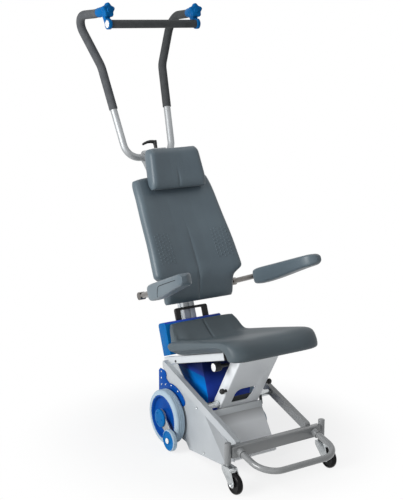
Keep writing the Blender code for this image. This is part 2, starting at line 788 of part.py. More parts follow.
def front_frame():
    """Square cross tube with the castor posts and the footrest sockets welded on."""
    half = CASTOR_X - POST_RADIUS + CROSS_TUBE_WALL / 2
    front_y = -CASTOR_REACH - CROSS_TUBE_DEPTH / 2
    low = (front_y, CROSS_TUBE_BOTTOM_Z)
    high = (CROSS_TUBE_REAR_Y, CROSS_TUBE_BOTTOM_Z + CROSS_TUBE_HEIGHT)
    wall = CROSS_TUBE_WALL
    outer = rounded(rectangle(low, high), 0.004, 3)
    inner = rectangle((low[0] + wall, low[1] + wall), (high[0] - wall, high[1] - wall))
    tube = add_part("front_frame", plate_mesh(outer, 2 * half, [inner]), "painted_grey", CHASSIS, SIDE_VIEW)
    slope = math.tan(FOOTREST_DROP)
    collar_bore = FOOTREST_RADIUS + CONTACT_GAP
    collar = [
        (collar_bore, SOCKET_LENGTH),
        (SOCKET_RADIUS, SOCKET_LENGTH),
        (SOCKET_RADIUS, 0),
        (collar_bore, 0),
    ]
    forward = Matrix.Rotation(math.pi / 2 + FOOTREST_DROP, 4, "X")
    for _side, sign in SIDES:
        seat = at(sign * FOOTREST_X, front_y + wall / 2, FOOTREST_Z + slope * wall / 2) @ forward
        join(tube, turned_mesh(collar, 14, closed=True), seat)
    for _side, sign in SIDES:
        join(tube, turned_mesh(post_profile(), 16), at(sign * CASTOR_X, -CASTOR_REACH))
    arm_start = 2 * CONTACT_GAP + FOOTREST_RADIUS * slope - front_y
    path = [
        (-FOOTREST_X, -arm_start, 0),
        (-FOOTREST_X, -FOOTREST_REACH, 0),
        (FOOTREST_X, -FOOTREST_REACH, 0),
        (FOOTREST_X, -arm_start, 0),
    ]
    path = rounded(path, FOOTREST_BEND, 8, closed=False)
    path = [(x, y, FOOTREST_Z + (y - front_y) * slope) for x, y, _z in path]
    add_part("footrest_bar", tube_mesh(path, FOOTREST_RADIUS), "painted_grey", CHASSIS)


def side_rails():
    front = CROSS_TUBE_REAR_Y + CONTACT_GAP
    outline = [
        (RAIL_REAR_Y, rail_top(RAIL_REAR_Y)),
        (front, rail_top(front)),
        (front, rail_bottom(front)),
        (RAIL_REAR_Y, rail_bottom(RAIL_REAR_Y)),
    ]
    middle = PLATE_OUTER_X + CONTACT_GAP + RAIL_WIDTH / 2
    for side, sign in SIDES:
        mesh = plate_mesh(rounded(outline, (0.006, 0.010, 0.002, 0.006), 4), RAIL_WIDTH)
        rail = add_part(f"side_rail_{side}", mesh, "painted_grey", CHASSIS, at(sign * middle) @ SIDE_VIEW)
        soften(rail, RAIL_EDGE, 2)


def fold_sheet(mesh, corner, direction, angle, ahead_of):
    """Bends the part of a flat sheet that lies left of a crease line and ahead of a place along it."""
    corner = Vector((*corner, 0))
    along = Vector((*direction, 0)).normalized()
    across = Vector((-along.y, along.x, 0))
    bm = bmesh.new()
    bm.from_mesh(mesh)
    geometry = list(bm.verts) + list(bm.edges) + list(bm.faces)
    bmesh.ops.bisect_plane(bm, geom=geometry, plane_co=corner, plane_no=across, dist=0.00001)
    flap = [v for v in bm.verts if v.co.x < ahead_of and (v.co - corner).dot(across) > 0.00002]
    bmesh.ops.rotate(bm, verts=flap, cent=corner, matrix=Matrix.Rotation(angle, 3, along))
    bm.to_mesh(mesh)
    bm.free()
    return mesh


def seat_line(forward, up):
    """Seat-frame point as chassis (y, z)."""
    y = SEAT_HEEL_Y - forward * math.cos(SEAT_TILT) + up * math.sin(SEAT_TILT)
    z = SEAT_HEEL_Z + forward * math.sin(SEAT_TILT) + up * math.cos(SEAT_TILT)
    return y, z


def gusset_top(forward):
    return seat_line(forward, -SEAT_RAIL_HEIGHT - 2 * CONTACT_GAP)


def plate_rear_edge():
    """Rear edge shared by both sides, from under the seat rail round the axle."""
    top = gusset_top(0.0)
    return [top, (top[0], PLATE_BACK_Z), *arc(PLATE_BACK_RADIUS, 40, -60, (0.0, WHEEL_RADIUS), 6)]


def side_plates():
    axle_hole = circle(AXLE_RADIUS + CONTACT_GAP, (0, WHEEL_RADIUS), 24)
    hem = CONTACT_GAP * 2
    front = CROSS_TUBE_REAR_Y + 0.002
    chin_z = 2 * CASTOR_WHEEL_RADIUS + CASTOR_SWING_GAP
    rise = math.tan(CREASE_SLOPE) - math.tan(RAIL_SLOPE)
    meet_y = CREASE_Y + (rail_bottom(CREASE_Y) - hem - CREASE_Z) / rise
    shoulder_y = meet_y + 0.001
    reach = (rail_bottom(front) - CREASE_Z) * math.cos(CREASE_SLOPE) - (front - CREASE_Y) * math.sin(CREASE_SLOPE)
    fall = math.cos(CREASE_SLOPE) + math.sin(CREASE_SLOPE) * math.tan(RAIL_SLOPE)
    drop = reach * (1 - math.cos(CREASE_ANGLE)) * fall
    gusset = gusset_top(GUSSET_LENGTH)
    waist = (WAIST_Y, rail_top(WAIST_Y) - PLATE_LAP)
    outline = [
        gusset,
        *plate_rear_edge(),
        PLATE_HEEL,
        (PLATE_SOLE_Y, PLATE_FOOT_Z),
        PLATE_TOE,
        (PLATE_CHIN_Y, chin_z),
        (front, chin_z + PLATE_LAP),
        (front, rail_bottom(front) + drop - hem),
        (shoulder_y, rail_bottom(shoulder_y) - hem),
        (shoulder_y + PLATE_LAP, rail_top(shoulder_y) - PLATE_LAP),
        waist,
    ]
    middle = (PLATE_OUTER_X + PLATE_INNER_X) / 2
    mesh = plate_mesh(outline, PLATE_THICKNESS, [axle_hole])
    crease_along = (math.cos(CREASE_SLOPE), math.sin(CREASE_SLOPE))
    fold_sheet(mesh, (CREASE_Y, CREASE_Z), crease_along, -CREASE_ANGLE, meet_y)
    add_part("side_plate_right", mesh, "painted_grey", CHASSIS, at(-middle) @ SIDE_VIEW)
    short = [gusset, *plate_rear_edge(), BRACKET_TOE, BRACKET_NECK, waist]
    mesh = plate_mesh(short, PLATE_THICKNESS, [axle_hole])
    add_part("side_bracket_left", mesh, "painted_grey", CHASSIS, at(middle) @ SIDE_VIEW)


def guard_outline():
    """Round strip over the wheel, with an upright tongue at its rear and a round tail in front."""
    inner = WHEEL_RADIUS - GUARD_LAP
    outer = inner + GUARD_WIDTH
    centre = (0.0, WHEEL_RADIUS)
    middle = (inner + outer) / 2
    tip = (middle * math.cos(GUARD_SWEEP), WHEEL_RADIUS + middle * math.sin(GUARD_SWEEP))
    end = math.degrees(GUARD_SWEEP)
    tail = arc(GUARD_WIDTH / 2, end, end + 180, tip, 6)
    tongue = [
        (GUARD_TONGUE_REAR, GUARD_TONGUE_FOOT),
        (GUARD_TONGUE_REAR, GUARD_TONGUE_TOP - GUARD_CORNER),
        (GUARD_TONGUE_REAR - GUARD_CORNER, GUARD_TONGUE_TOP),
        (GUARD_TONGUE_FRONT + GUARD_CORNER, GUARD_TONGUE_TOP),
        (GUARD_TONGUE_FRONT, GUARD_TONGUE_TOP - GUARD_CORNER),
        (GUARD_TONGUE_FRONT, (GUARD_TONGUE_TOP + WHEEL_RADIUS + outer) / 2 - GUARD_CORNER),
    ]
    return tongue + arc(outer, 80, end, centre, 8)[:-1] + tail + arc(inner, end, 45, centre, 10)[1:]


def wheel_guards():
    middle = PLATE_OUTER_X + CONTACT_GAP + GUARD_THICKNESS / 2
    for side, sign in SIDES:
        place = at(sign * middle) @ SIDE_VIEW
        add_part(f"wheel_guard_{side}", plate_mesh(guard_outline(), GUARD_THICKNESS), "blue", CHASSIS, place)


def lower_shield():
    top_y, top_z = SHIELD_TOP
    foot_y, foot_z = SHIELD_FOOT
    slope = Vector((foot_y - top_y, foot_z - SHIELD_RIDGE_Z)).normalized()
    normal = Vector((-slope.y, slope.x)) * -SHEET
    outline = [
        (top_y, top_z),
        (top_y, SHIELD_RIDGE_Z),
        (foot_y, foot_z),
        (foot_y + 0.012, foot_z - 0.010),
        (foot_y + 0.012 + SHEET, foot_z - 0.008),
        (foot_y - normal.x, foot_z - normal.y),
        (top_y + SHEET, SHIELD_RIDGE_Z - normal.y),
        (top_y + SHEET, top_z),
    ]
    low_x = -PLATE_INNER_X + CONTACT_GAP
    mesh = plate_mesh(outline, SHIELD_LEFT_X - low_x)
    add_part("lower_shield", mesh, "painted_grey", CHASSIS, at((low_x + SHIELD_LEFT_X) / 2) @ SIDE_VIEW)


def support_panel():
    panel_frame = add_frame("panel_frame", CHASSIS, (0, *PANEL_FOOT), PANEL_LEAN)
    w = PANEL_HALF_WIDTH
    d = FLANGE_DEPTH
    inner = w - SHEET
    channel = [(-w, d), (-w, 0), (w, 0), (w, d), (inner, d), (inner, SHEET), (-inner, SHEET), (-inner, d)]
    radii = (0.0, 0.005, 0.005, 0.0, 0.0, 0.002, 0.002, 0.0)
    mesh = plate_mesh(rounded(channel, radii, 3), PANEL_LENGTH)
    panel = add_part("support_panel", mesh, "painted_grey", panel_frame, at(0, 0, PANEL_LENGTH / 2))
    half_w = HAND_HOLE_WIDTH / 2
    half_h = HAND_HOLE_HEIGHT / 2
    hole = [
        (-half_w, -half_h),
        (half_w - HAND_HOLE_SLANT, -half_h),
        (half_w, half_h * 0.4),
        (half_w - HAND_HOLE_SLANT / 4, half_h),
        (-half_w, half_h),
    ]
    hole = rounded(hole, (0.006, 0.006, 0.008, 0.006, 0.026), 4)
    cut(panel, plate_mesh(hole, 4 * SHEET), at(0, SHEET / 2, HAND_HOLE_T) @ FRONT_VIEW)
    clear = PANEL_SHAFT_RADIUS + RUNNING_GAP
    cut(panel, rod_mesh(clear, -2 * w, 2 * w, 16), at(0, PANEL_SHAFT_Y, PANEL_SHAFT_Z), CHASSIS)
    above = box_mesh((-2 * w, -0.9, -CONTACT_GAP), (2 * w, 0.2, 0.3))
    cut(panel, above, None, SEAT)
    shaft = rod_mesh(PANEL_SHAFT_RADIUS, -PLATE_OUTER_X, PLATE_OUTER_X, 20)
    add_part("panel_shaft", shaft, "zinc", CHASSIS, at(0, PANEL_SHAFT_Y, PANEL_SHAFT_Z))
    face = w + CONTACT_GAP
    stop_end = face + STOP_LENGTH
    stop = [
        (0, stop_end),
        (STOP_RADIUS - 0.003, stop_end),
        (STOP_RADIUS, stop_end - 0.003),
        (STOP_RADIUS, stop_end - STOP_HEAD),
        (STOP_ROD_RADIUS, stop_end - STOP_HEAD - 0.002),
        (STOP_ROD_RADIUS, STOP_HEAD + 0.002 - stop_end),
        (STOP_RADIUS, STOP_HEAD - stop_end),
        (STOP_RADIUS, 0.003 - stop_end),
        (STOP_RADIUS - 0.003, -stop_end),
        (0, -stop_end),
    ]
    place = at(0, STOP_Y, STOP_Z)
    add_part("panel_stop_bar", turned_mesh(stop, 16), "black", CHASSIS, place @ outward(1))
    cut(panel, rod_mesh(STOP_ROD_RADIUS + CONTACT_GAP, -2 * w, 2 * w, 16), place, CHASSIS)
    length = LOCK_KNOB_STEM + LOCK_KNOB_LENGTH
    knob = [
        (0, length),
        (LOCK_KNOB_RADIUS - 0.003, length),
        (LOCK_KNOB_RADIUS, length - 0.003),
        (LOCK_KNOB_RADIUS * 0.92, LOCK_KNOB_STEM),
        (0.006, LOCK_KNOB_STEM),
        (0.006, 0),
        (0, 0),
    ]
    place = at(-face, LOCK_KNOB_Y, LOCK_KNOB_Z) @ outward(-1)
    add_part("lock_knob", turned_mesh(knob, 20), "black", CHASSIS, place)


def seat_rails():
    outer = PLATE_OUTER_X
    inner = outer - SEAT_RAIL_WIDTH
    for side, sign in SIDES:
        low_x, high_x = sorted((sign * inner, sign * outer))
        mesh = box_mesh((low_x, -SEAT_RAIL_LENGTH, -SEAT_RAIL_HEIGHT), (high_x, 0, 0))
        rail = add_part(f"seat_rail_{side}", mesh, "painted_grey", SEAT)
        soften(rail, SEAT_RAIL_EDGE, 2)


def seat_ring(x):
    """One closed cut through the bucket seat, square to X, drawn in towards its spine near the sides."""
    edge = abs(x) / SEAT_HALF_WIDTH
    fullness = 0.30 + 0.70 * math.sqrt(max(1.0 - edge ** 8, 0.0))
    bolster = SEAT_BOLSTER * smooth_step(0.35, 0.85, edge)
    base = CONTACT_GAP + SEAT_SIDE_LIFT * smooth_step(PLATE_OUTER_X + 0.006, SEAT_HALF_WIDTH - 0.012, abs(x))
    rear_top = SEAT_DISH_HEIGHT + bolster
    front_top = SEAT_DISH_HEIGHT + bolster * 0.3
    rise = 1.0 - smooth_step(UPSTAND_HALF_WIDTH, UPSTAND_HALF_WIDTH + UPSTAND_FALL, abs(x))
    front = SEAT_FRONT - SEAT_CORNER * (1.0 - math.sqrt(max(1.0 - edge ** 5, 0.0)))
    crest = rear_top + (UPSTAND_HEIGHT - rear_top) * rise
    lean = (SEAT_HEEL_FRONT - UPSTAND_TOP_FRONT) / (UPSTAND_HEIGHT - SEAT_DISH_HEIGHT)
    crest_front = SEAT_HEEL_FRONT - 0.010 - lean * (crest - SEAT_DISH_HEIGHT)
    half_crest = rear_top + (crest - rear_top) * 0.5
    foot_back = SEAT_HEEL_FRONT - UPSTAND_THICKNESS - 0.006
    spine_f = foot_back + 0.5 * UPSTAND_THICKNESS
    spine_h = 0.5 * (base + rear_top)
    lip_f = front - 0.018
    lip_h = 0.018 - SEAT_LIP_DROP
    heel = [
        (foot_back - 0.5 * lean * (crest - base), base + 0.5 * (crest - base)),
        (crest_front - UPSTAND_THICKNESS, crest - 0.008),
        (crest_front - UPSTAND_THICKNESS + 0.006, crest - 0.001),
        (crest_front - 0.008, crest),
        (crest_front, crest - 0.006),
        (crest_front + lean * (crest - rear_top) * 0.5, half_crest + 0.001),
    ]
    floor = [
        (SEAT_HEEL_FRONT, rear_top + (crest - rear_top) * 0.10 + 0.001),
        (SEAT_HEEL_FRONT + 0.022, rear_top),
        (SEAT_HEEL_FRONT + 0.120, rear_top + (front_top - rear_top) * 0.25),
        (SEAT_HEEL_FRONT + 0.220, rear_top + (front_top - rear_top) * 0.60),
        (front - 0.100, front_top),
        (front - 0.052, front_top - 0.004),
    ]
    lip = [
        (front - 0.024, front_top - 0.017),
        (front - 0.008, front_top - 0.036),
        (front, front_top - 0.058),
        (front - 0.004, 0.006 - SEAT_LIP_DROP),
        (front - 0.014, -SEAT_LIP_DROP),
        (front - 0.030, 0.002 - SEAT_LIP_DROP),
        (front - 0.040, 0.014 - SEAT_LIP_DROP),
        (front - 0.056, base - 0.010),
    ]
    under = [
        (front - 0.075, base),
        (front - 0.220, base),
        (SEAT_HEEL_FRONT + 0.040, base),
        (SEAT_HEEL_FRONT + 0.002, base),
        (foot_back + 0.004, base + 0.003),
        (foot_back, base + 0.016),
    ]
    points = [(f, h, spine_f, min(h, spine_h)) for f, h in heel]
    points += [(f, h, f, spine_h) for f, h in floor]
    points += [(f, h, lip_f, max(h, lip_h)) for f, h in lip]
    points += [(f, h, max(f, spine_f), spine_h) for f, h in under]
    return [(x, -(sf + (f - sf) * fullness), sh + (h - sh) * fullness) for f, h, sf, sh in points]


def seat_pad():
    stations = [math.sin(math.radians(i * 90 / 14)) for i in range(-14, 15)]
    rings = [seat_ring(SEAT_HALF_WIDTH * t) for t in stations]
    add_part("seat_pad", loft_mesh(rings), "pad", SEAT)


def drive_housing():
    outline = [
        (DRIVE_FRONT, DRIVE_TOP),
        (MAST_BACK - 0.020, DRIVE_TOP),
        (MAST_BACK - 0.040, DRIVE_TOP - 0.050),
        *arc(DRIVE_SKIRT, 200, 285, (AXLE_V, AXLE_U), 8),
        (DRIVE_FRONT - 0.034, AXLE_U - 0.018),
        (DRIVE_FRONT, AXLE_U + 0.052),
    ]
    mesh = plate_mesh(back_outline(outline), 2 * DRIVE_HALF_WIDTH)
    housing = add_part("drive_housing", mesh, "blue", BACK, SIDE_VIEW)
    soften(housing, DRIVE_EDGE, 2)
    reach = 2 * DRIVE_HALF_WIDTH
    cut(housing, rod_mesh(SHAFT_RADIUS + RUNNING_GAP, -reach, reach, 20), at(0, -AXLE_V, AXLE_U))


def battery_pack():
    rear = MAST_FRONT + CONTACT_GAP
    outline = rectangle((-BATTERY_FRONT, BATTERY_BOTTOM), (-rear, BATTERY_TOP))
    mesh = plate_mesh(rounded(outline, (0.004, 0.004, 0.012, 0.012), 4), BATTERY_RIGHT_X + BATTERY_LEFT_X)
    middle = (BATTERY_LEFT_X - BATTERY_RIGHT_X) / 2
    pack = add_part("battery_pack", mesh, "blue", BACK, at(middle) @ SIDE_VIEW)
    soften(pack, 0.004, 2)
    w = CARRY_HALF_WIDTH
    foot = BATTERY_TOP + CONTACT_GAP
    outline = [
        (-w, foot), (-w, CARRY_TOP), (w, CARRY_TOP), (w, foot), (w - CARRY_LEG, foot),
        (w - CARRY_LEG, CARRY_TOP - CARRY_BAR), (CARRY_LEG - w, CARRY_TOP - CARRY_BAR), (CARRY_LEG - w, foot),
    ]
    outline = rounded(outline, (0, 0.022, 0.022, 0, 0, 0.008, 0.008, 0), 5)
    middle = MAST_FRONT + 0.003 + CARRY_DEPTH / 2
    mesh = plate_mesh(outline, CARRY_DEPTH)
    handle = add_part("carry_handle", mesh, "black", BACK, at(0, -middle) @ FRONT_VIEW)
    soften(handle, 0.002, 1)


def mast():
    w = MAST_HALF_WIDTH
    s = SLOT_WIDTH / 2
    d = SLOT_DEPTH
    front = -MAST_FRONT
    back = -MAST_BACK
    mid = (front + back) / 2
    outline = [
        (-w, front), (-s, front), (-s, front + d), (s, front + d), (s, front), (w, front),
        (w, mid - s), (w - d, mid - s), (w - d, mid + s), (w, mid + s),
        (w, back), (s, back), (s, back - d), (-s, back - d), (-s, back), (-w, back),
        (-w, mid + s), (d - w, mid + s), (d - w, mid - s), (-w, mid - s),
    ]
    bottom = DRIVE_TOP + CONTACT_GAP
    mesh = plate_mesh(outline, MAST_TOP - bottom)
    add_part("mast", mesh, "silver", BACK, at(0, 0, (MAST_TOP + bottom) / 2))


def mast_head():
    ring = HANDLE_RADIUS + CONTACT_GAP + HEAD_CLAMP_WALL
    pivot = (-HANDLE_PIVOT_V, HANDLE_PIVOT_U)
    foot = MAST_TOP + CONTACT_GAP
    top = HANDLE_PIVOT_U + HEAD_STEP
    shoulder = 180 - math.degrees(math.asin(HEAD_STEP / ring))
    outline = [
        (-MAST_FRONT, foot),
        (CONTACT_GAP - MAST_BACK, foot),
        (CONTACT_GAP - MAST_BACK, MAST_TOP - HEAD_HEEL),
        (-MAST_BACK + 0.008, MAST_TOP - HEAD_HEEL),
        *arc(ring, -50, shoulder, pivot, 14),
        (-MAST_FRONT, top),
    ]
    bore = circle(HANDLE_RADIUS + CONTACT_GAP, pivot, 24)
    mesh = plate_mesh(outline, 2 * HEAD_CLAMP_HALF, [bore])
    add_part("mast_head", mesh, "silver", BACK, SIDE_VIEW)
    stem = [
        (0, LEVER_STEM),
        (LEVER_STEM_RADIUS, LEVER_STEM),
        (LEVER_STEM_RADIUS * 0.85, 0),
        (0, 0),
    ]
    place = at(0, -LEVER_V, top + CONTACT_GAP)
    lever = add_part("clamp_lever", turned_mesh(stem, 16), "black", BACK, place)
    top_z = LEVER_STEM - LEVER_ARM_RADIUS
    bow = [(0.0, 0.0), (0.31, 0.05), (0.69, 0.02), (1.0, -0.07)]
    arm = [(-LEVER_LENGTH * along, 0, top_z + LEVER_LENGTH * lift) for along, lift in bow]
    join(lever, tube_mesh(arm, LEVER_ARM_RADIUS, 2), place)


def handle_path(sign):
    """Handle centre line of one side, from the middle of its foot to its nose."""
    kink, crown, nose = HANDLE_KINK, HANDLE_CROWN, HANDLE_END
    corners = [
        (0, 0, 0),
        (sign * HANDLE_FOOT_HALF, 0, 0),
        (sign * kink[0], -kink[2], kink[1]),
        (sign * crown[0], -crown[2], crown[1]),
        (sign * nose[0], -nose[2], nose[1]),
    ]
    return rounded(corners, (0, *HANDLE_BENDS, 0), 6, closed=False)


def nose_axis(sign):
    crown, nose = HANDLE_CROWN, HANDLE_END
    return Vector((sign * (nose[0] - crown[0]), -(nose[2] - crown[2]), nose[1] - crown[1])).normalized()


def push_handle():
    pivot = add_frame("handle_pivot", BACK, (0, -HANDLE_PIVOT_V, HANDLE_PIVOT_U))
    whole = handle_path(-1)[::-1] + handle_path(1)[1:]
    add_part("handle_tube", tube_mesh(whole, HANDLE_RADIUS, 4), "silver", pivot)
    bar_z = HANDLE_END[1] - PUSH_BAR_DROP
    bar_y = -HANDLE_END[2] - PUSH_BAR_AHEAD
    bar = rod_mesh(PUSH_BAR_RADIUS, -PUSH_BAR_HALF, PUSH_BAR_HALF, 20)
    add_part("push_bar", bar, "foam_grip", pivot, at(0, bar_y, bar_z))
    for side, sign in SIDES:
        nose = Vector((sign * HANDLE_END[0], -HANDLE_END[2], HANDLE_END[1]))
        axis = nose_axis(sign)
        sleeve = sleeve_path(sign, axis)
        mesh = tube_mesh(sleeve, HANDLE_RADIUS + SLEEVE_GAP, 4, capped=False)
        grip = add_part(f"grip_sleeve_{side}", mesh, "foam_grip", pivot)
        wall = grip.modifiers.new("wall", "SOLIDIFY")
        wall.thickness = SLEEVE_WALL
        wall.offset = 1.0
        wall.use_even_offset = True
        bar_clamp(side, sign, pivot, nose, axis, (bar_y, bar_z))


def sleeve_path(sign, axis):
    path = [Vector(point) for point in handle_path(sign)]
    start = next(i for i, point in enumerate(path) if point.z > SLEEVE_START_U)
    before, after = path[start - 1], path[start]
    t = (SLEEVE_START_U - before.z) / (after.z - before.z)
    end = path[-1] - axis * (BAR_CLAMP_LENGTH - BAR_CLAMP_NOSE + SLEEVE_END_GAP)
    return [before.lerp(after, t), *path[start:-1], end]


def bar_clamp(side, sign, pivot, nose, axis, bar):
    """Collar on the tube's end, with a web down to a ring round the push bar."""
    bar_y, bar_z = bar
    collar_radius = HANDLE_RADIUS + SLEEVE_GAP + BAR_CLAMP_WALL
    bar_ring = PUSH_BAR_RADIUS + CONTACT_GAP + BAR_CLAMP_WALL
    front = nose + axis * BAR_CLAMP_NOSE
    rear = front - axis * BAR_CLAMP_LENGTH
    collar = tube_mesh([rear, front], collar_radius, 5)
    clamp = add_part(f"bar_clamp_{side}", collar, "blue", pivot)
    web_half = 0.8 * collar_radius
    web = [
        (front.y + 2 * web_half, front.z),
        *arc(bar_ring, 380, 65, (bar_y, bar_z), 18),
        (front.y + 0.4 * web_half, front.z),
    ]
    ring_x = sign * (PUSH_BAR_HALF - BAR_CLAMP_WIDTH / 2)
    join(clamp, plate_mesh(web, BAR_CLAMP_WIDTH), at(ring_x) @ SIDE_VIEW)
    reach = BAR_CLAMP_WIDTH
    cut(clamp, rod_mesh(PUSH_BAR_RADIUS + CONTACT_GAP, -reach, reach, 20), at(ring_x, bar_y, bar_z))
    start = rear - axis * BAR_CLAMP_LENGTH
    end = nose + axis * CONTACT_GAP
    cut(clamp, tube_mesh([start, end], HANDLE_RADIUS + SLEEVE_GAP, 4))
    star_knob(side, pivot, front + axis * CONTACT_GAP, axis)


def star_knob(side, pivot, place, axis):
    count = STAR_LOBES * 6
    outline = []
    for i in range(count):
        turn = math.tau * i / count
        radius = STAR_RADIUS * (0.86 + 0.14 * math.cos(STAR_LOBES * turn))
        outline.append((radius * math.sin(turn), radius * math.cos(turn)))
    forward = axis.to_track_quat("Z", "Y").to_matrix().to_4x4()
    seat = Matrix.Translation(place + axis * STAR_DEPTH / 2) @ forward
    knob = add_part(f"clamp_knob_{side}", plate_mesh(outline, STAR_DEPTH), "blue", pivot, seat)
    soften(knob, 0.004, 1)


def back_front(u):
    """How far ahead of the back's foot its front surface stands: the small of the back bulges forward."""
    return through((*BACK_STATIONS, (BACK_LENGTH, BACK_TOP_FRONT)), u)


def back_levels():
    """Heights of the backrest's rings: close together at its ends and round the notch in its sides."""
    end = BACK_LENGTH - PAD_END
    levels = spread(0.0, TONGUE_TOP, (0.0, 0.05, 0.20, 0.55, 0.92))
    levels += spread(TONGUE_TOP, BACK_WIDEST_AT, (0.20, 0.42, 0.65, 0.84))
    levels += spread(BACK_WIDEST_AT, end, (0.015, 0.13, 0.31, 0.51, 0.71, 0.89))
    return levels + spread(end, BACK_LENGTH, (0.0, 0.62, 0.88, 1.0))


def back_half_width(u):
    flare = (u - BACK_WIDEST_AT) / (BACK_LENGTH - BACK_WIDEST_AT)
    if u >= BACK_WIDEST_AT:
        return BACK_WIDEST + (BACK_TOP_HALF_WIDTH - BACK_WIDEST) * flare
    notch = smooth_step(TONGUE_TOP, TONGUE_TOP + 0.8 * (BACK_WIDEST_AT - TONGUE_TOP), u)
    return TONGUE_HALF_WIDTH + (BACK_WIDEST - TONGUE_HALF_WIDTH) * notch


def pad_ring(half_width, front, back, u, roll, dish=0.0, groove=0.0):
    """One closed cut through an upright pad: rolled sides, a dished middle and a drawn-in groove."""
    roll = min(roll, 0.55 * (front - back))
    heel = min(0.6 * roll, 0.35 * (front - back))
    inner = half_width - roll
    face = []
    for c in (0.0, 0.08, 0.32, 0.60, 0.84, 1.0):
        hollow = dish * (1 - smooth_step(0.30, 0.95, c))
        face.append((inner * c, front - hollow - (groove if c == 0 else 0.0)))
    for degrees in (30, 60, 90):
        turn = math.radians(degrees)
        face.append((inner + roll * math.sin(turn), front - roll * (1 - math.cos(turn))))
    for degrees in (0, 45, 90):
        turn = math.radians(degrees)
        face.append((half_width - heel * (1 - math.cos(turn)), back + heel * (1 - math.sin(turn))))
    loop = face + [(-x, v) for x, v in face[:0:-1]]
    return [(x, -v, u) for x, v in loop]


def backrest():
    levels = back_levels()
    rings = []
    for u in levels:
        front = back_front(u)
        back = front - BACK_THICKNESS
        end = min(u, BACK_LENGTH - u)
        pinch = PAD_PINCH * (1 - min(end / PAD_ROLL, 1.0)) ** 2
        fade = 1 - smooth_step(BACK_GROOVE_TOP - PAD_ROLL, BACK_GROOVE_TOP + PAD_ROLL, u)
        groove = BACK_GROOVE * fade * smooth_step(0.0, PAD_ROLL, u)
        width = back_half_width(u) - 0.5 * pinch
        rings.append(pad_ring(width, front - pinch, back + 0.5 * pinch, u, PAD_ROLL, BACK_DISH, groove))
    add_part("backrest_pad", loft_mesh(rings), "pad", BACK)
    rings = []
    for u in levels[3:-3]:
        near = back_front(u) - BACK_THICKNESS - 2 * CONTACT_GAP
        far = near - SHELL_THICKNESS
        half = min(back_half_width(u), back_half_width(max(u - SHELL_MARGIN, 0.0))) - SHELL_MARGIN
        rings.append([(-half, -near, u), (half, -near, u), (half, -far, u), (-half, -far, u)])
    add_part("backrest_shell", loft_mesh(rings), "black", BACK)
    back_brackets()


def shell_back(u):
    return back_front(u) - BACK_THICKNESS - SHELL_THICKNESS - 4 * CONTACT_GAP


def back_brackets():
    rear = MAST_FRONT + CONTACT_GAP
    low, high = UPPER_BRACKET_FOOT, UPPER_BRACKET_TOP
    half = HEAD_ROD_X + HEAD_ROD_RADIUS + HEAD_ROD_WALL
    face = min(shell_back(high), shell_back(low)) - BRACKET_GAP
    outline = [(rear, low), (rear, high), (face, high), (face, low)]
    mesh = plate_mesh(back_outline(outline), 2 * half)
    upper = add_part("back_bracket_upper", mesh, "silver", BACK, SIDE_VIEW)
    clear = HEAD_ROD_RADIUS + RUNNING_GAP
    bore = turned_mesh([(0, MAST_TOP), (clear, MAST_TOP), (clear, 0), (0, 0)], 12)
    for _side, sign in SIDES:
        cut(upper, bore.copy(), at(sign * HEAD_ROD_X, -HEAD_ROD_V))
    low, high = LOWER_BRACKET
    neck = high - LOWER_BRACKET_PAD
    wall = ARM_AXLE_RADIUS + LOWER_BRACKET_WALL
    outline = [
        (rear, low),
        (rear, high),
        (shell_back(high) - BRACKET_GAP, high),
        (shell_back(neck) - 2 * BRACKET_GAP, neck),
        (ARM_PIVOT_V + wall, ARM_PIVOT_U + wall),
        (ARM_PIVOT_V + wall, low),
    ]
    hole = circle(ARM_AXLE_RADIUS + CONTACT_GAP, (-ARM_PIVOT_V, ARM_PIVOT_U), 20)
    mesh = plate_mesh(back_outline(outline), 2 * MAST_HALF_WIDTH, [hole])
    add_part("back_bracket_lower", mesh, "silver", BACK, SIDE_VIEW)


def head_back(u):
    """Rear face of the head pad, kept ahead of the back where the two overlap."""
    return max(HEAD_FRONT - HEAD_THICKNESS, back_front(min(u, BACK_LENGTH)) + RUBBER_GAP)


def headrest():
    shares = (0.0, 0.027, 0.08, 0.17, 0.37, 0.53, 0.73, 0.853, 0.933, 0.98, 1.0)
    rings = []
    for level in spread(0.0, HEAD_HEIGHT, shares):
        u = HEAD_BOTTOM + level
        end = min(level, HEAD_HEIGHT - level)
        pinch = 1.3 * PAD_PINCH * (1 - min(end / PAD_END, 1.0)) ** 2
        width = HEAD_HALF_WIDTH - HEAD_TAPER * level / HEAD_HEIGHT - 0.3 * pinch
        fade = 1 - smooth_step(HEAD_GROOVE_TOP - PAD_ROLL, HEAD_GROOVE_TOP + PAD_ROLL, level)
        groove = HEAD_GROOVE * fade * smooth_step(0.0, PAD_ROLL, level)
        front = HEAD_FRONT - pinch
        rings.append(pad_ring(width, front, head_back(u) + 0.5 * pinch, u, PAD_ROLL, HEAD_DISH, groove))
    add_part("headrest_pad", loft_mesh(rings), "pad", BACK)
    x = HEAD_ROD_X
    behind = HEAD_ROD_RADIUS + CONTACT_GAP - head_back(HEAD_ROD_TOP)
    path = [
        (-x, -HEAD_ROD_V, HEAD_ROD_BOTTOM),
        (-x, -HEAD_ROD_V, HEAD_ROD_TOP),
        (-x, behind, HEAD_ROD_TOP + HEAD_ROD_STEP),
        (x, behind, HEAD_ROD_TOP + HEAD_ROD_STEP),
        (x, -HEAD_ROD_V, HEAD_ROD_TOP),
        (x, -HEAD_ROD_V, HEAD_ROD_BOTTOM),
    ]
    path = rounded(path, HEAD_ROD_BEND, 4, closed=False)
    add_part("headrest_rods", tube_mesh(path, HEAD_ROD_RADIUS, 2), "zinc", BACK)


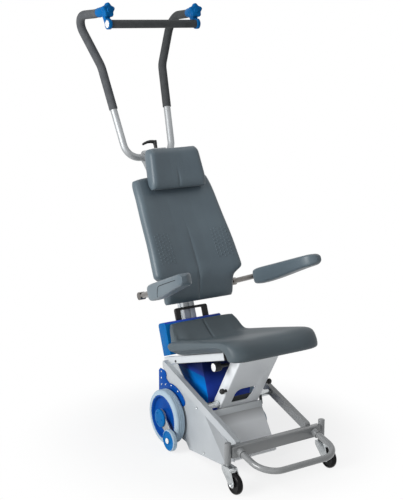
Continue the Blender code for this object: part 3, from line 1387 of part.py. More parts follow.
def armrests():
    place = at(0, -ARM_PIVOT_V, ARM_PIVOT_U)
    axle_mesh = rod_mesh(ARM_AXLE_RADIUS, -ARM_AXLE_HALF, ARM_AXLE_HALF, 20)
    axle = add_part("armrest_axle", axle_mesh, "silver", BACK, place)
    pin_end = ARM_AXLE_HALF + ARM_HUB_WIDTH - ARM_HUB_WALL
    join(axle, rod_mesh(ARM_PIN_RADIUS, -pin_end, pin_end, 16), place)
    for side, sign in SIDES:
        pivot = add_frame(f"armrest_pivot_{side}", BACK, (0, -ARM_PIVOT_V, ARM_PIVOT_U))
        armrest(side, sign, pivot, pin_end)


def armrest(side, sign, pivot, pin_end):
    inner = ARM_AXLE_HALF + RUNNING_GAP
    outer = inner + ARM_HUB_WIDTH
    middle = sign * (inner + outer) / 2
    hub = rod_mesh(ARM_HUB_RADIUS, *one_side(sign, inner, outer), 24)
    arm = add_part(f"armrest_arm_{side}", hub, "silver", pivot)
    along = Vector((sign * math.sin(ARM_SPLAY), -math.cos(ARM_SPLAY), 0))
    start = Vector((middle, 0, 0))
    tube_end = ARM_PAD_START + ARM_PLUG
    join(arm, tube_mesh([start, start + along * tube_end], ARM_TUBE_RADIUS, 4))
    cut(arm, rod_mesh(ARM_PIN_RADIUS + RUNNING_GAP, *one_side(sign, 0, pin_end + RUNNING_GAP), 16))
    pad = add_part(f"armrest_pad_{side}", loft_mesh(armrest_rings(start, along)), "pad", pivot)
    socket_start = start + along * (ARM_PAD_START - ARM_PLUG)
    socket_end = start + along * (tube_end + CONTACT_GAP)
    cut(pad, tube_mesh([socket_start, socket_end], ARM_TUBE_RADIUS + SLEEVE_GAP, 4))


def armrest_rings(start, along):
    """Rings of a paddle that thins and widens to a rounded tip."""
    across = Vector((-along.y, along.x, 0))
    offset = math.copysign(ARM_PAD_OFFSET, start.x)
    top = 0.5 * ARM_PAD_HEIGHT
    rings = []
    for t in (0.0, 0.009, 0.035, 0.18, 0.35, 0.52, 0.68, 0.80, 0.88, 0.94, 0.98, 1.0):
        s = t * ARM_PAD_LENGTH
        height = ARM_PAD_HEIGHT + (ARM_PAD_TIP_HEIGHT - ARM_PAD_HEIGHT) * smooth_step(0.15, 1.0, t)
        width = ARM_PAD_WIDTH * (0.86 + 0.20 * smooth_step(0.1, 0.9, t))
        near_end = max(0.0, 1 - s / ARM_PAD_HEEL)
        tip = max(0.0, 1 - (ARM_PAD_LENGTH - s) / ARM_PAD_TIP)
        width *= math.sqrt(max(1 - tip ** 2, 0.05)) * (1 - 0.10 * near_end ** 2)
        middle = top - height / 2
        height *= math.sqrt(max(1 - 0.75 * tip ** 2, 0.05)) * (1 - 0.10 * near_end ** 2)
        dip = ARM_PAD_DIP * math.sin(math.pi * smooth_step(0.45, 0.95, t))
        centre = start + along * (ARM_PAD_START + s) + across * offset
        ring = []
        for k in range(16):
            turn = math.tau * k / 16
            side_way = math.copysign(abs(math.cos(turn)) ** 0.55, math.cos(turn))
            up_way = math.copysign(abs(math.sin(turn)) ** 0.55, math.sin(turn))
            level = middle + up_way * height / 2
            if up_way > 0:
                level -= dip * (1 - abs(side_way) ** 2)
            ring.append(centre + across * (side_way * width / 2) + Vector((0, 0, level)))
        rings.append(ring)
    return rings


def build():
    main_wheels()
    wheel_axles()
    climbing_drive()
    castors()
    front_frame()
    side_rails()
    side_plates()
    wheel_guards()
    lower_shield()
    support_panel()
    seat_rails()
    seat_pad()
    drive_housing()
    battery_pack()
    mast()
    mast_head()
    push_handle()
    backrest()
    headrest()
    armrests()


build()
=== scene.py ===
# %% [markdown]
# # Dressing a stair climbing chair for a studio picture
# The real object is a transport chair that walks up stairs on two powered cranks. Its CAD frame already has the
# right size, place and joints, so this lesson never moves it. Each step makes one kind of piece that the frame
# only hints at, such as foam pads, rubber tyres or soft grips, and lets it ride on the part that carries it.

# %% Load the CAD frame
import json
import math

import bmesh
import bpy
from mathutils import Matrix, Vector


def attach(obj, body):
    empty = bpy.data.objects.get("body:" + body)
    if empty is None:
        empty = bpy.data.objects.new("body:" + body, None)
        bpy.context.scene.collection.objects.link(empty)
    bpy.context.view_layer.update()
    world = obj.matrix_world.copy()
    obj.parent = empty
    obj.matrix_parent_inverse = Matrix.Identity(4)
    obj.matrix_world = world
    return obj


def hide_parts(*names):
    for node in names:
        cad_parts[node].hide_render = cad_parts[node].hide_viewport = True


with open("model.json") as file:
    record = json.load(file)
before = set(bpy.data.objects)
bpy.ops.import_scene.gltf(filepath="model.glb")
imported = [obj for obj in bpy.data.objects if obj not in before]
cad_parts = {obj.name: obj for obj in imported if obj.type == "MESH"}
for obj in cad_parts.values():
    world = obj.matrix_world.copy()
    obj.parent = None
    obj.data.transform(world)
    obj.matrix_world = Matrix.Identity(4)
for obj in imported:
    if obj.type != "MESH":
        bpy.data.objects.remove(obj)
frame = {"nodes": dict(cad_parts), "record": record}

cad = frame["nodes"]
body_of = {}
for body, members in frame["record"]["behaviour"]["bodies"].items():
    body_of.update({node: body for node in members})
slot_of = {entry["node"]: entry["material_slot"] for entry in frame["record"]["subparts"]}
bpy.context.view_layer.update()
SIDES = (("right", -1), ("left", 1))

# %% [markdown]
# ## Working frames
# Most pieces lean with the back or rise with the seat. A matrix for each of these slopes lets a piece be drawn
# upright and then set in place once, which is easier to read than turning every point by hand. The numbers are
# the CAD model's own, in metres.

# %% The chassis, the reclined back and the rising seat
AXLE_Y = 0.0208
WHEEL_RADIUS = 0.105
RECLINE = math.radians(20.2)
SEAT_TILT = math.radians(17.5)


def at(x, y, z, lean=0.0):
    """A place whose upright leans back by an angle."""
    return Matrix.Translation((x, y, z)) @ Matrix.Rotation(-lean, 4, "X")


chassis = at(0, AXLE_Y, 0)
recline = chassis @ at(0, 0.03, 0.533, RECLINE)
seat_slope = chassis @ at(0, 0.064, 0.319, SEAT_TILT)
handle_frame = recline @ at(0, 0.172, 0.606)
arm_frame = recline @ at(0, 0.07, 0.054)


def sideways(sign):
    """Lays a shape made about Z on its side, so that its top points away from the middle of the chair."""
    return Matrix.Rotation(sign * math.pi / 2, 4, "Y")


def outward(sign, x, y, z):
    return chassis @ at(sign * x, y, z) @ sideways(sign)


print("recline axis", [round(c, 3) for c in recline.to_3x3() @ Vector((0, 0, 1))])

# %% [markdown]
# ## Finishes
# A real surface is never one flat colour: paint drifts a little, plastic has a moulded grain, rubber is dull in
# places. One recipe makes them all. Slow noise tints the colour, the same noise makes the gloss uneven, and a
# fine texture lifts the surface. All of it reads Object coordinates, so it stays put when a piece moves. Three
# finishes under the seat also deepen towards their top, where the photograph has the seat's shade.


# %% One recipe for every finish
def feed(tree, node, inputs):
    """Sets a node's inputs, by name or number, or links them where the value is another node's output."""
    for key, value in inputs.items():
        if isinstance(value, bpy.types.NodeSocket):
            tree.links.new(value, node.inputs[key])
        else:
            node.inputs[key].default_value = value
    return node


def new_node(tree, kind, inputs=None, operation=None):
    node = tree.nodes.new(f"ShaderNode{kind}")
    if operation:
        node.operation = operation
    return feed(tree, node, inputs or {})


def finish(name, deep, pale, drift, rough, metal=0.0, grain=900.0, depth=0.0001, pebbled=False, shine=0.5, sheen=0.0,
           stretch=(1, 1, 1), shade=None):
    """A Principled surface between two tints, with gloss from rough[0] to rough[1] and a grain of some depth.

    shade is (low, high, share): painted shade, as the tint falls to a share of itself from one height to the other.
    """
    material = bpy.data.materials.new(name)
    material.use_nodes = True
    tree = material.node_tree
    place = new_node(tree, "TexCoord").outputs["Object"]
    clouds = new_node(tree, "TexNoise", {"Vector": place, "Scale": drift, "Detail": 4.0}).outputs["Fac"]
    tint = new_node(tree, "ValToRGB", {"Fac": clouds})
    for stop, position, colour in zip(tint.color_ramp.elements, (0.32, 0.68), (deep, pale)):
        stop.position = position
        stop.color = (*colour, 1)
    base = tint.outputs["Color"]
    # Painted shade: the tint is scaled down between two heights.
    if shade:
        low, high, share = shade
        height = new_node(tree, "SeparateXYZ", {"Vector": place}).outputs["Z"]
        fall = new_node(tree, "MapRange", {"Value": height, "From Min": low, "From Max": high, "To Min": 1.0,
                                           "To Max": share})
        dimmed = new_node(tree, "VectorMath", {0: base, "Scale": fall.outputs["Result"]}, "SCALE")
        base = dimmed.outputs["Vector"]
    gloss = new_node(tree, "MapRange", {"Value": clouds, "To Min": rough[0], "To Max": rough[1]})
    slant = new_node(tree, "Mapping", {"Vector": place, "Rotation": (RECLINE, 0, 0), "Scale": stretch})
    kind, output = ("TexVoronoi", "Distance") if pebbled else ("TexNoise", "Fac")
    texture = new_node(tree, kind, {"Vector": slant.outputs["Vector"], "Scale": grain})
    relief = new_node(tree, "Bump", {"Height": texture.outputs[output], "Distance": depth, "Strength": 0.6})
    feed(tree, tree.nodes["Principled BSDF"], {
        "Base Color": base, "Roughness": gloss.outputs["Result"], "Normal": relief.outputs["Normal"], "Metallic": metal,
        "Specular IOR Level": shine, "Sheen Weight": sheen, "Sheen Roughness": 0.4})
    return material


# %% Pads, foam and blues
pad_skin = finish("pad_skin", (0.076, 0.105, 0.127), (0.096, 0.131, 0.154), 6, (0.42, 0.43), grain=620, depth=0.00005,
                  pebbled=True, sheen=0.1)
# The seat's foam is a darker copy of the pad foam, as painted shade on the seat. It is also less glossy.
seat_skin_in_shade = finish("seat_skin_in_shade", (0.058, 0.077, 0.089), (0.074, 0.098, 0.112), 6, (0.48, 0.5), grain=620, depth=0.00005,
                   pebbled=True, shine=0.36)
pad_shadow = finish("pad_shadow", (0.012, 0.016, 0.019), (0.02, 0.025, 0.029), 30, (0.7, 0.85), shine=0.2)
grip_foam = finish("grip_foam", (0.072, 0.077, 0.084), (0.098, 0.103, 0.11), 40, (0.8, 0.95), grain=1500,
                   depth=0.0004, shine=0.3)
bar_foam = finish("bar_foam", (0.046, 0.049, 0.051), (0.062, 0.066, 0.069), 40, (0.75, 0.9), grain=1500, depth=0.0004,
                  shine=0.3)
blue_moulding = finish("blue_moulding", (0.001, 0.104, 0.325), (0.003, 0.136, 0.39), 9, (0.4, 0.52), grain=700,
                       depth=0.00008, shine=0.08)
blue_paint = finish("blue_paint", (0.001, 0.05, 0.27), (0.002, 0.07, 0.33), 14, (0.36, 0.48), grain=400,
                    depth=0.00006, shine=0.06)
# This deep blue is painted shade: it stands for the shade on the drive's front and top and on the battery's top.
SHADE_TINTS = (0.02, 0.056, 0.42), (0.036, 0.09, 0.56)
shade_blue = finish("shade_blue", *SHADE_TINTS, 12, (0.4, 0.52), grain=500, shine=0.15)
# The drive's deep blue and its bright side blue also darken towards their top, as painted shade under the seat rail.
housing_shade_blue = finish("housing_shade_blue", *SHADE_TINTS, 12, (0.4, 0.52), grain=500, shine=0.12, shade=(0.258, 0.312, 0.16))
shell_blue = finish("shell_blue", (0.001, 0.185, 0.64), (0.003, 0.22, 0.74), 9, (0.4, 0.52), grain=700,
                    depth=0.00008, shine=0.08, shade=(0.25, 0.312, 0.16))
print("pads, foam and blues ready")


# %% Metals, paints and rubbers
def sheet_paint(name, deep, pale, metal=0.1, rough=(0.42, 0.52), **more):
    """Coated metal, with a very shallow grain."""
    return finish(name, deep, pale, 7, rough, metal, 1400, 0.00005, **more)


silver_paint = sheet_paint("silver_paint", (0.41, 0.434, 0.453), (0.467, 0.491, 0.51), 0.15)
panel_paint = sheet_paint("panel_paint", (0.72, 0.745, 0.765), (0.79, 0.81, 0.83))
# A deeper copy of the silver paint, as painted shade on the side plate's flap beyond its fold.
fold_shade_paint = sheet_paint("fold_shade_paint", (0.283, 0.299, 0.312), (0.322, 0.339, 0.352), 0.15)
# The shield's paint darkens towards its top as painted shade under the support panel.
shield_shade_paint = sheet_paint("shield_shade_paint", (0.78, 0.8, 0.82), (0.84, 0.855, 0.87), shade=(0.138, 0.177, 0.42))
pale_paint = sheet_paint("pale_paint", (0.535, 0.56, 0.58), (0.6, 0.625, 0.64))
grey_paint = sheet_paint("grey_paint", (0.205, 0.212, 0.216), (0.25, 0.257, 0.26), 0.0, (0.24, 0.32), shine=0.8)
anodised = finish("anodised", (0.33, 0.345, 0.355), (0.4, 0.415, 0.425), 10, (0.46, 0.56), 0.7, 900, 0.00008,
                  stretch=(1, 1, 0.03))
# The armrest tubes' chrome has a darkened tint, a painted reflection of the dark pads around them.
dark_reflection_chrome = finish("dark_reflection_chrome", (0.12, 0.112, 0.104), (0.22, 0.21, 0.2), 24, (0.16, 0.28), 1.0, 700, 0.00004)
zinc_plate = finish("zinc_plate", (0.4, 0.425, 0.435), (0.6, 0.62, 0.63), 45, (0.2, 0.34), 1.0, 600, 0.00005)
black_moulding = finish("black_moulding", (0.008, 0.008, 0.009), (0.015, 0.015, 0.016), 20, (0.36, 0.5), grain=1100,
                        depth=0.00012, pebbled=True, shine=0.3)
tyre_rubber = finish("tyre_rubber", (0.33, 0.43, 0.51), (0.39, 0.49, 0.57), 16, (0.6, 0.78), grain=800,
                     depth=0.00015, shine=0.3)
castor_rubber = finish("castor_rubber", (0.005, 0.005, 0.006), (0.01, 0.01, 0.011), 30, (0.18, 0.3), depth=0.00006,
                       shine=0.1)
white_moulding = finish("white_moulding", (0.72, 0.73, 0.74), (0.8, 0.805, 0.81), 25, (0.34, 0.46), depth=0.00006)
print("metals, paints and rubbers ready")

# %% [markdown]
# ## Finishes for the CAD nodes
# A node whose shape is already right only needs its surface. The record names a slot for each node, so a table
# from slot to finish paints the whole frame in one loop. A few nodes then get a tint of their own.

# %% Paint the frame
finish_of_slot = {
    "silver": anodised,
    "painted_grey": silver_paint,
    "zinc": zinc_plate,
    "blue_metal": blue_paint,
    "blue_plastic": blue_moulding,
    "foam_grip": grip_foam,
    "pad": pad_skin,
    "black": black_moulding,
    "tyre": tyre_rubber,
}
own_finish = {"drive_housing": housing_shade_blue, "front_frame": grey_paint, "footrest_bar": grey_paint,
              "side_rail_left": grey_paint, "push_bar": bar_foam, "castor_wheel_right": castor_rubber,
              "castor_wheel_left": castor_rubber, "armrest_arm_right": dark_reflection_chrome, "armrest_arm_left": dark_reflection_chrome,
              "support_panel": panel_paint, "lower_shield": shield_shade_paint, "seat_rail_right": pale_paint,
              "seat_rail_left": pale_paint, "mast": pale_paint, "seat_pad": seat_skin_in_shade}


def finish_for(node):
    return own_finish.get(node, finish_of_slot[slot_of[node]])


for node, thing in cad.items():
    thing.data.materials.clear()
    thing.data.materials.append(finish_for(node))
print(f"{len(cad)} nodes painted")

# %% [markdown]
# ## Making and placing a piece
# Every new piece is modelled in a bmesh and then handed over in the same way: normals made to point outwards,
# smooth shading with crisp edges kept, and a body to ride on. A piece takes its body and its finish from the CAD
# node that it stands for or sits on, so nothing has to be named twice.


# %% Hand a bmesh over as a piece
def hand_over(name, bm, like, surface=None, crease=35.0):
    """Turns a bmesh into a piece that rides with the CAD node `like`."""
    bmesh.ops.recalc_face_normals(bm, faces=bm.faces)
    mesh = bpy.data.meshes.new(name)
    bm.to_mesh(mesh)
    bm.free()
    mesh.materials.append(surface or finish_for(like))
    mesh.shade_smooth()
    mesh.set_sharp_from_angle(angle=math.radians(crease))
    piece = bpy.data.objects.new(name, mesh)
    bpy.context.scene.collection.objects.link(piece)
    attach(piece, body_of[like])
    print(f"{name}: {len(mesh.polygons)} faces on {body_of[like]}")
    return piece


def stand_in(name, bm, node, **how):
    """Hands a piece over that takes the place of a CAD node."""
    piece = hand_over(name, bm, node, **how)
    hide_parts(node)
    return piece


# %% [markdown]
# ## Three ways to make a shape
# Turned parts, such as wheels and knobs, start as a profile of a few points that is spun about Z. Bent tubes
# start as a circle that is extruded from point to point along a path. Plates and castings are already in the
# CAD frame with knife edges, so a copy of the node is welded and its edges are eased with a small bevel.


# %% Turned shapes
def edges_of(verts):
    return list(dict.fromkeys(e for v in verts for e in v.link_edges))


def turned(bm, profile, place, steps, ease=0.0, closed=True):
    """Spins (radius, height) points about Z. ease rounds the profile's corners before the spin."""
    start = set(bm.verts)
    corners = [bm.verts.new((radius, 0, height)) for radius, height in profile]
    loop = corners + corners[:1] if closed else corners
    for first, last in zip(loop, loop[1:]):
        bm.edges.new((first, last))
    if ease:
        bends = corners if closed else corners[1:-1]
        bmesh.ops.bevel(bm, geom=bends, offset=ease, offset_type="OFFSET", segments=3, profile=0.5, affect="VERTICES",
                        material=-1, clamp_overlap=True)

    def made():
        return [v for v in bm.verts if v not in start]

    bmesh.ops.spin(bm, geom=made() + edges_of(made()), cent=(0, 0, 0), axis=(0, 0, 1), angle=math.tau, steps=steps,
                   use_merge=True)
    bmesh.ops.remove_doubles(bm, verts=made(), dist=0.000002)
    bmesh.ops.transform(bm, matrix=place, verts=made())
    return bm


# %% Bent tubes
def bent_path(corners, radii, steps):
    """A polyline whose inner corners are replaced by arcs of the given radii."""
    corners = [Vector(corner) for corner in corners]
    points = [corners[0]]
    for before, corner, after, radius in zip(corners, corners[1:], corners[2:], radii):
        back = (before - corner).normalized()
        ahead = (after - corner).normalized()
        half = back.angle(ahead) / 2
        centre = corner + (back + ahead).normalized() * (radius / math.sin(half))
        first = corner + back * (radius / math.tan(half)) - centre
        last = corner + ahead * (radius / math.tan(half)) - centre
        for k in range(steps + 1):
            points.append(centre + first.slerp(last, k / steps).normalized() * radius)
    return points + [corners[-1]]


def extruded(bm, edges):
    """Extrudes open edges, and gives the new points and the new open edges."""
    grown = bmesh.ops.extrude_edge_only(bm, edges=edges)["geom"]
    points = [g for g in grown if isinstance(g, bmesh.types.BMVert)]
    return points, [g for g in grown if isinstance(g, bmesh.types.BMEdge)]


def swept(bm, path, radius, place=Matrix(), sides=32):
    """Pulls a circle along a path and turns it at each point. radius is one number or one for each point."""
    radii = radius if isinstance(radius, list) else [radius] * len(path)
    spots = []
    turn = (path[1] - path[0]).to_track_quat("Z", "Y")
    for i, point in enumerate(path):
        ahead = path[min(i + 1, len(path) - 1)] - path[max(i - 1, 0)]
        turn = (turn @ Vector((0, 0, 1))).rotation_difference(ahead) @ turn
        spots.append(place @ Matrix.LocRotScale(point, turn, Vector((radii[i],) * 3)))
    ring = bmesh.ops.create_circle(bm, segments=sides, radius=1.0, cap_ends=True, matrix=spots[0])["verts"]
    edges = edges_of(ring)
    for before, after in zip(spots, spots[1:]):
        ring, edges = extruded(bm, edges)
        bmesh.ops.transform(bm, matrix=after @ before.inverted(), verts=ring)
    bmesh.ops.edgeloop_fill(bm, edges=edges)
    return bm


# %% Welded copies with eased edges
def round_edges(bm, edges, width, segments=3, clamp=False):
    bmesh.ops.bevel(bm, geom=edges, offset=width, offset_type="OFFSET", segments=segments, profile=0.5, affect="EDGES",
                    material=-1, clamp_overlap=clamp)


def welded(node):
    bm = bmesh.new()
    bm.from_mesh(cad[node].data)
    bmesh.ops.remove_doubles(bm, verts=bm.verts, dist=0.00001)
    return bm


def eased(node, width):
    """A welded copy whose flat faces are whole again and whose sharp edges carry a small round."""
    bm = welded(node)
    bmesh.ops.dissolve_limit(bm, angle_limit=math.radians(0.6), verts=bm.verts, edges=bm.edges)
    sharp = [e for e in bm.edges if len(e.link_faces) == 2 and e.calc_face_angle() > math.radians(38)]
    round_edges(bm, sharp, width, 2, clamp=True)
    return bm


# %% [markdown]
# ## Sheet metal and castings
# Laser-cut sheet and cast aluminium never have knife edges: they are tumbled or coated, and the small round
# along each edge is what catches the light. The copy keeps the CAD shape, so the part still fits its frame. Two
# of the sheets are bent along a line, and a lower crease angle keeps those shallow folds crisp.

# %% Ease the plates, brackets and mouldings
easings = {
    "side_plate_right": 0.0008, "side_bracket_left": 0.0008, "wheel_guard_right": 0.001, "wheel_guard_left": 0.001,
    "lower_shield": 0.0008, "support_panel": 0.0008, "mast_head": 0.0025, "back_bracket_upper": 0.002,
    "back_bracket_lower": 0.002, "mast": 0.0006, "castor_fork_right": 0.0008, "castor_fork_left": 0.0008,
    "climb_crank_right": 0.001, "climb_crank_left": 0.001, "backrest_shell": 0.0012,
}
FOLDED = ("side_plate_right", "lower_shield")
copies = {}
for node, width in easings.items():
    how = {"crease": 8.0} if node in FOLDED else {}
    copies[node] = stand_in(f"{node}_eased", eased(node, width), node, **how)

# %% [markdown]
# ## Two tones on one piece
# The drive and the battery show two blues: bright side shells, and a deep blue that is painted shade, at the front
# and the top of the drive and on top of the battery. One cut parts the drive's side faces, and a second material
# slot, chosen by where a face is and which way it looks, gives the same split. The flap beyond the side plate's fold
# turns away from the light, and gets a deeper tint as painted shade in the same way.


# %% Housing, battery and plate
def cut_across(bm, spot, way):
    """Cuts all faces along the plane through spot that looks along way."""
    everything = [*bm.verts, *bm.edges, *bm.faces]
    bmesh.ops.bisect_plane(bm, geom=everything, plane_co=spot, plane_no=way, dist=0.00005)


def second_tone(piece, tone, chosen):
    """Gives the faces that chosen picks a second material."""
    piece.data.materials.append(tone)
    for face in piece.data.polygons:
        face.material_index = int(chosen(face))
    print(f"{piece.name}: {sum(chosen(face) for face in piece.data.polygons)} faces in {tone.name}")


# Side faces below the cut take the bright blue. Those above it keep the deep blue as painted shade under the seat rail.
SHADE_LINE_Z = 0.292
bm = eased("drive_housing", 0.001)
cut_across(bm, (0, 0, SHADE_LINE_Z), (0, 0, 1))
housing = stand_in("drive_housing_eased", bm, "drive_housing")
second_tone(housing, shell_blue, lambda face: abs(face.normal.x) > 0.5 and face.center.z < SHADE_LINE_Z)
pack = stand_in("battery_pack_eased", eased("battery_pack", 0.001), "battery_pack")
# The battery's top faces take the deep blue as painted shade.
second_tone(pack, shade_blue, lambda face: face.normal.z > 0.6)
# The flap beyond the fold takes the deeper silver as painted shade.
second_tone(copies["side_plate_right"], fold_shade_paint, lambda face: 0.9 < -face.normal.x < 0.99)

# %% [markdown]
# ## Carry handle
# A flat black hoop stands on the battery. It is an upside-down U, drawn as one face, pulled to its depth and
# rounded in two passes: first the corners that a hand feels, then a fine round along every edge.


# %% Carry handle
def pulled(bm, way):
    """Pulls flat faces into a solid along a vector."""
    grown = bmesh.ops.extrude_face_region(bm, geom=list(bm.faces))["geom"]
    bmesh.ops.translate(bm, verts=[g for g in grown if isinstance(g, bmesh.types.BMVert)], vec=way)


outer, inner, foot, crown, bar_foot = 0.073, 0.05, -0.0607, -0.014, -0.024
hoop = [(-outer, foot), (-outer, crown), (outer, crown), (outer, foot), (inner, foot), (inner, bar_foot),
        (-inner, bar_foot), (-inner, foot)]
bm = bmesh.new()
bm.faces.new([bm.verts.new((x, 0.075, z)) for x, z in hoop])
pulled(bm, (0, 0.012, 0))
for height, radius in ((crown, 0.009), (bar_foot, 0.004)):
    corners = [e for e in bm.edges if all(abs(v.co.z - height) < 0.0001 for v in e.verts)
               and abs(e.verts[0].co.x - e.verts[1].co.x) < 0.0001]
    round_edges(bm, corners, radius, 5)
bmesh.ops.recalc_face_normals(bm, faces=bm.faces)
round_edges(bm, [e for e in bm.edges if e.calc_face_angle() > math.radians(50)], 0.0014)
bmesh.ops.transform(bm, matrix=recline, verts=bm.verts)
stand_in("carry_hoop", bm, "carry_handle")

# %% [markdown]
# ## Main wheels
# A solid grey tyre sits on a dished rim. Both are turned parts: the tyre's profile has three grooves round the
# tread and soft shoulders, and the rim's has a deep dish with a hub. Spinning a profile is how a lathe would
# make them, and it keeps the tread perfectly round.

# %% Tyres and rims
WHEEL_X = 0.1683
half_tyre = [(0.0858, 0.0195), (0.095, 0.02), (0.1008, 0.0182), (0.104, 0.014), (0.105, 0.0105),
             (0.105, 0.0088), (0.1032, 0.0084), (0.1032, 0.0064), (0.105, 0.006), (0.105, 0.0014),
             (0.1032, 0.001)]
tyre_profile = half_tyre + [(r, -h) for r, h in reversed(half_tyre)]
rim_profile = [(0.0855, 0.019), (0.0795, 0.019), (0.0755, 0.008), (0.07, 0.006), (0.033, 0.006),
               (0.027, 0.0175), (0.025, 0.019), (0.0124, 0.019), (0.0124, -0.019), (0.026, -0.019),
               (0.026, -0.001), (0.0735, -0.001), (0.0795, -0.019), (0.0855, -0.019)]
for side, sign in SIDES:
    place = outward(sign, WHEEL_X, 0, WHEEL_RADIUS)
    bm = turned(bmesh.new(), tyre_profile, place, 96)
    stand_in(f"grey_tyre_{side}", bm, f"tyre_{side}", crease=50)
    bm = turned(bmesh.new(), rim_profile, place, 96, ease=0.0012)
    stand_in(f"dished_rim_{side}", bm, f"rim_{side}")

# %% [markdown]
# ## Climbing wheels
# Beside each main wheel a crank carries a small wheel that steps onto the next stair. A blue cap covers the
# crank's hub, held by three screws, and a pale disc covers the small wheel's pin.


# %% Small wheels, hub caps and pin discs
def screw_head(bm, place, radius, height):
    """A screw head with a round socket: a flat cone whose top is inset and then sunk."""
    made = bmesh.ops.create_cone(bm, cap_ends=True, segments=18, radius1=radius, radius2=radius * 0.86, depth=height,
                                 matrix=at(0, 0, height / 2))["verts"]
    top = max({f for v in made for f in v.link_faces}, key=lambda f: f.calc_center_median().z)
    bmesh.ops.inset_region(bm, faces=[top], thickness=radius * 0.36)
    bmesh.ops.translate(bm, verts=list(top.verts), vec=(0, 0, -height * 0.5))
    head = {*made, *(v for edge in top.edges for face in edge.link_faces for v in face.verts)}
    bmesh.ops.transform(bm, matrix=place, verts=list(head))


CRANK_END = (-0.083, 0.0458)
STEP_WHEEL_X, HUB_CAP_X, PIN_DISC_X, TREAD_INSIDE = 0.2057, 0.2006, 0.2178, 0.0372
small_wheel = [(0.038, 0.009), (0.041, 0.0062), (0.041, -0.0062), (0.038, -0.009), (0.0064, -0.009),
               (0.0064, 0.009), (0.014, 0.009), (0.0165, 0.0062), (0.0305, 0.0062), (0.033, 0.009)]
hub_cap = [(0.0, 0.0044), (0.022, 0.0042), (0.031, 0.0034), (0.0347, 0.0008), (0.0347, -0.0042), (0.0342, -0.0042),
           (0.0342, 0.0001), (0.0, 0.0001)]
pin_disc = [(0.0, 0.003), (0.0085, 0.0028), (0.0108, 0.0012), (0.0108, 0.0), (0.0, 0.0)]
for side, sign in SIDES:
    place = outward(sign, STEP_WHEEL_X, *CRANK_END)
    bm = turned(bmesh.new(), small_wheel, place, 64, ease=0.001)
    wheel = stand_in(f"small_wheel_{side}", bm, f"climb_wheel_{side}")
    centre = place.translation
    second_tone(wheel, tyre_rubber, lambda face: (face.center - centre).yz.length > TREAD_INSIDE)
    place = outward(sign, HUB_CAP_X, 0, WHEEL_RADIUS)
    bm = turned(bmesh.new(), hub_cap, place, 48, closed=False)
    for k in range(3):
        spot = Matrix.Rotation(math.tau * (k + 0.25) / 3, 4, "Z") @ at(0.0215, 0, 0.0036)
        screw_head(bm, place @ spot, 0.0032, 0.0022)
    hand_over(f"hub_cap_{side}", bm, f"climb_crank_{side}", surface=blue_moulding)
    bm = turned(bmesh.new(), pin_disc, outward(sign, PIN_DISC_X, *CRANK_END), 40, closed=False)
    hand_over(f"pin_disc_{side}", bm, f"climb_crank_{side}", surface=white_moulding)

# %% [markdown]
# ## Castors
# The front runs on two small swivel castors: a hard black tread with round shoulders, a narrow core and a
# steel bush. The fork is one of the eased castings above, and a nut closes each end of its pin.

# %% Castor rollers and nuts
CASTOR_X, CASTOR_Y, CASTOR_Z, PIN_HALF = 0.204, -0.512, 0.0375, 0.0157
roller = [(0.0375, 0.0), (0.037, 0.0045), (0.035, 0.0085), (0.0315, 0.011), (0.029, 0.011), (0.0275, 0.008),
          (0.012, 0.008), (0.0105, 0.011), (0.0044, 0.011)]
roller_profile = roller + [(r, -h) for r, h in reversed(roller[1:])]
for side, sign in SIDES:
    bm = turned(bmesh.new(), roller_profile, outward(sign, CASTOR_X, CASTOR_Y, CASTOR_Z), 64, ease=0.0006)
    stand_in(f"castor_roller_{side}", bm, f"castor_wheel_{side}")
    bm = bmesh.new()
    for way in (-1, 1):
        place = outward(way, way * sign * CASTOR_X + PIN_HALF, CASTOR_Y, CASTOR_Z)
        screw_head(bm, place, 0.0062, 0.0045)
    hand_over(f"castor_nuts_{side}", bm, f"castor_fork_{side}")

# %% [markdown]
# ## Front frame and foot bar
# A square tube joins the castor posts, and a bent round bar in two sockets carries the feet. Round tubes need
# many sides to look round, so they are made again here: posts and sockets are turned, and the foot bar is swept.


# %% Cross tube, posts, sockets and foot bar
def block(bm, place, size, width, segments=3):
    """A box with rounded edges."""
    cube = bmesh.ops.create_cube(bm, size=1.0, matrix=place @ Matrix.Diagonal((*size, 1)))["verts"]
    round_edges(bm, edges_of(cube), width, segments)
    return bm


CROSS_Y, FRONT_Y = -0.466, -0.4785
FOOT_X, FOOT_Z, FOOT_REACH, FOOT_RADIUS = 0.163, 0.135, -0.6268, 0.0112
FOOT_SLOPE = math.radians(12.0)
bm = block(bmesh.new(), chassis @ at(0, CROSS_Y, 0.133), (0.386, 0.025, 0.042), 0.004, 4)
post = [(0, 0.169), (0.012, 0.169), (0.012, 0.09), (0.0064, 0.09), (0.0064, 0.144), (0, 0.144)]
socket = [(0.0115, 0.022), (0.0147, 0.022), (0.0147, 0), (0.0115, 0)]
for _side, sign in SIDES:
    turned(bm, post, chassis @ at(sign * CASTOR_X, CROSS_Y, 0), 48, ease=0.0015, closed=False)
    place = chassis @ at(sign * FOOT_X, FRONT_Y + 0.001, FOOT_Z, -math.pi / 2 - FOOT_SLOPE)
    turned(bm, socket, place, 40, ease=0.0008)
stand_in("front_frame_welded", bm, "front_frame")
foot_start = FRONT_Y - 0.003
foot_corners = [(-FOOT_X, foot_start, 0), (-FOOT_X, FOOT_REACH, 0), (FOOT_X, FOOT_REACH, 0), (FOOT_X, foot_start, 0)]
foot_path = [Vector((p.x, p.y, FOOT_Z + (p.y - FRONT_Y) * math.tan(FOOT_SLOPE)))
             for p in bent_path(foot_corners, (0.075, 0.075), 14)]
bm = swept(bmesh.new(), foot_path, FOOT_RADIUS, chassis)
stand_in("foot_bar", bm, "footrest_bar")

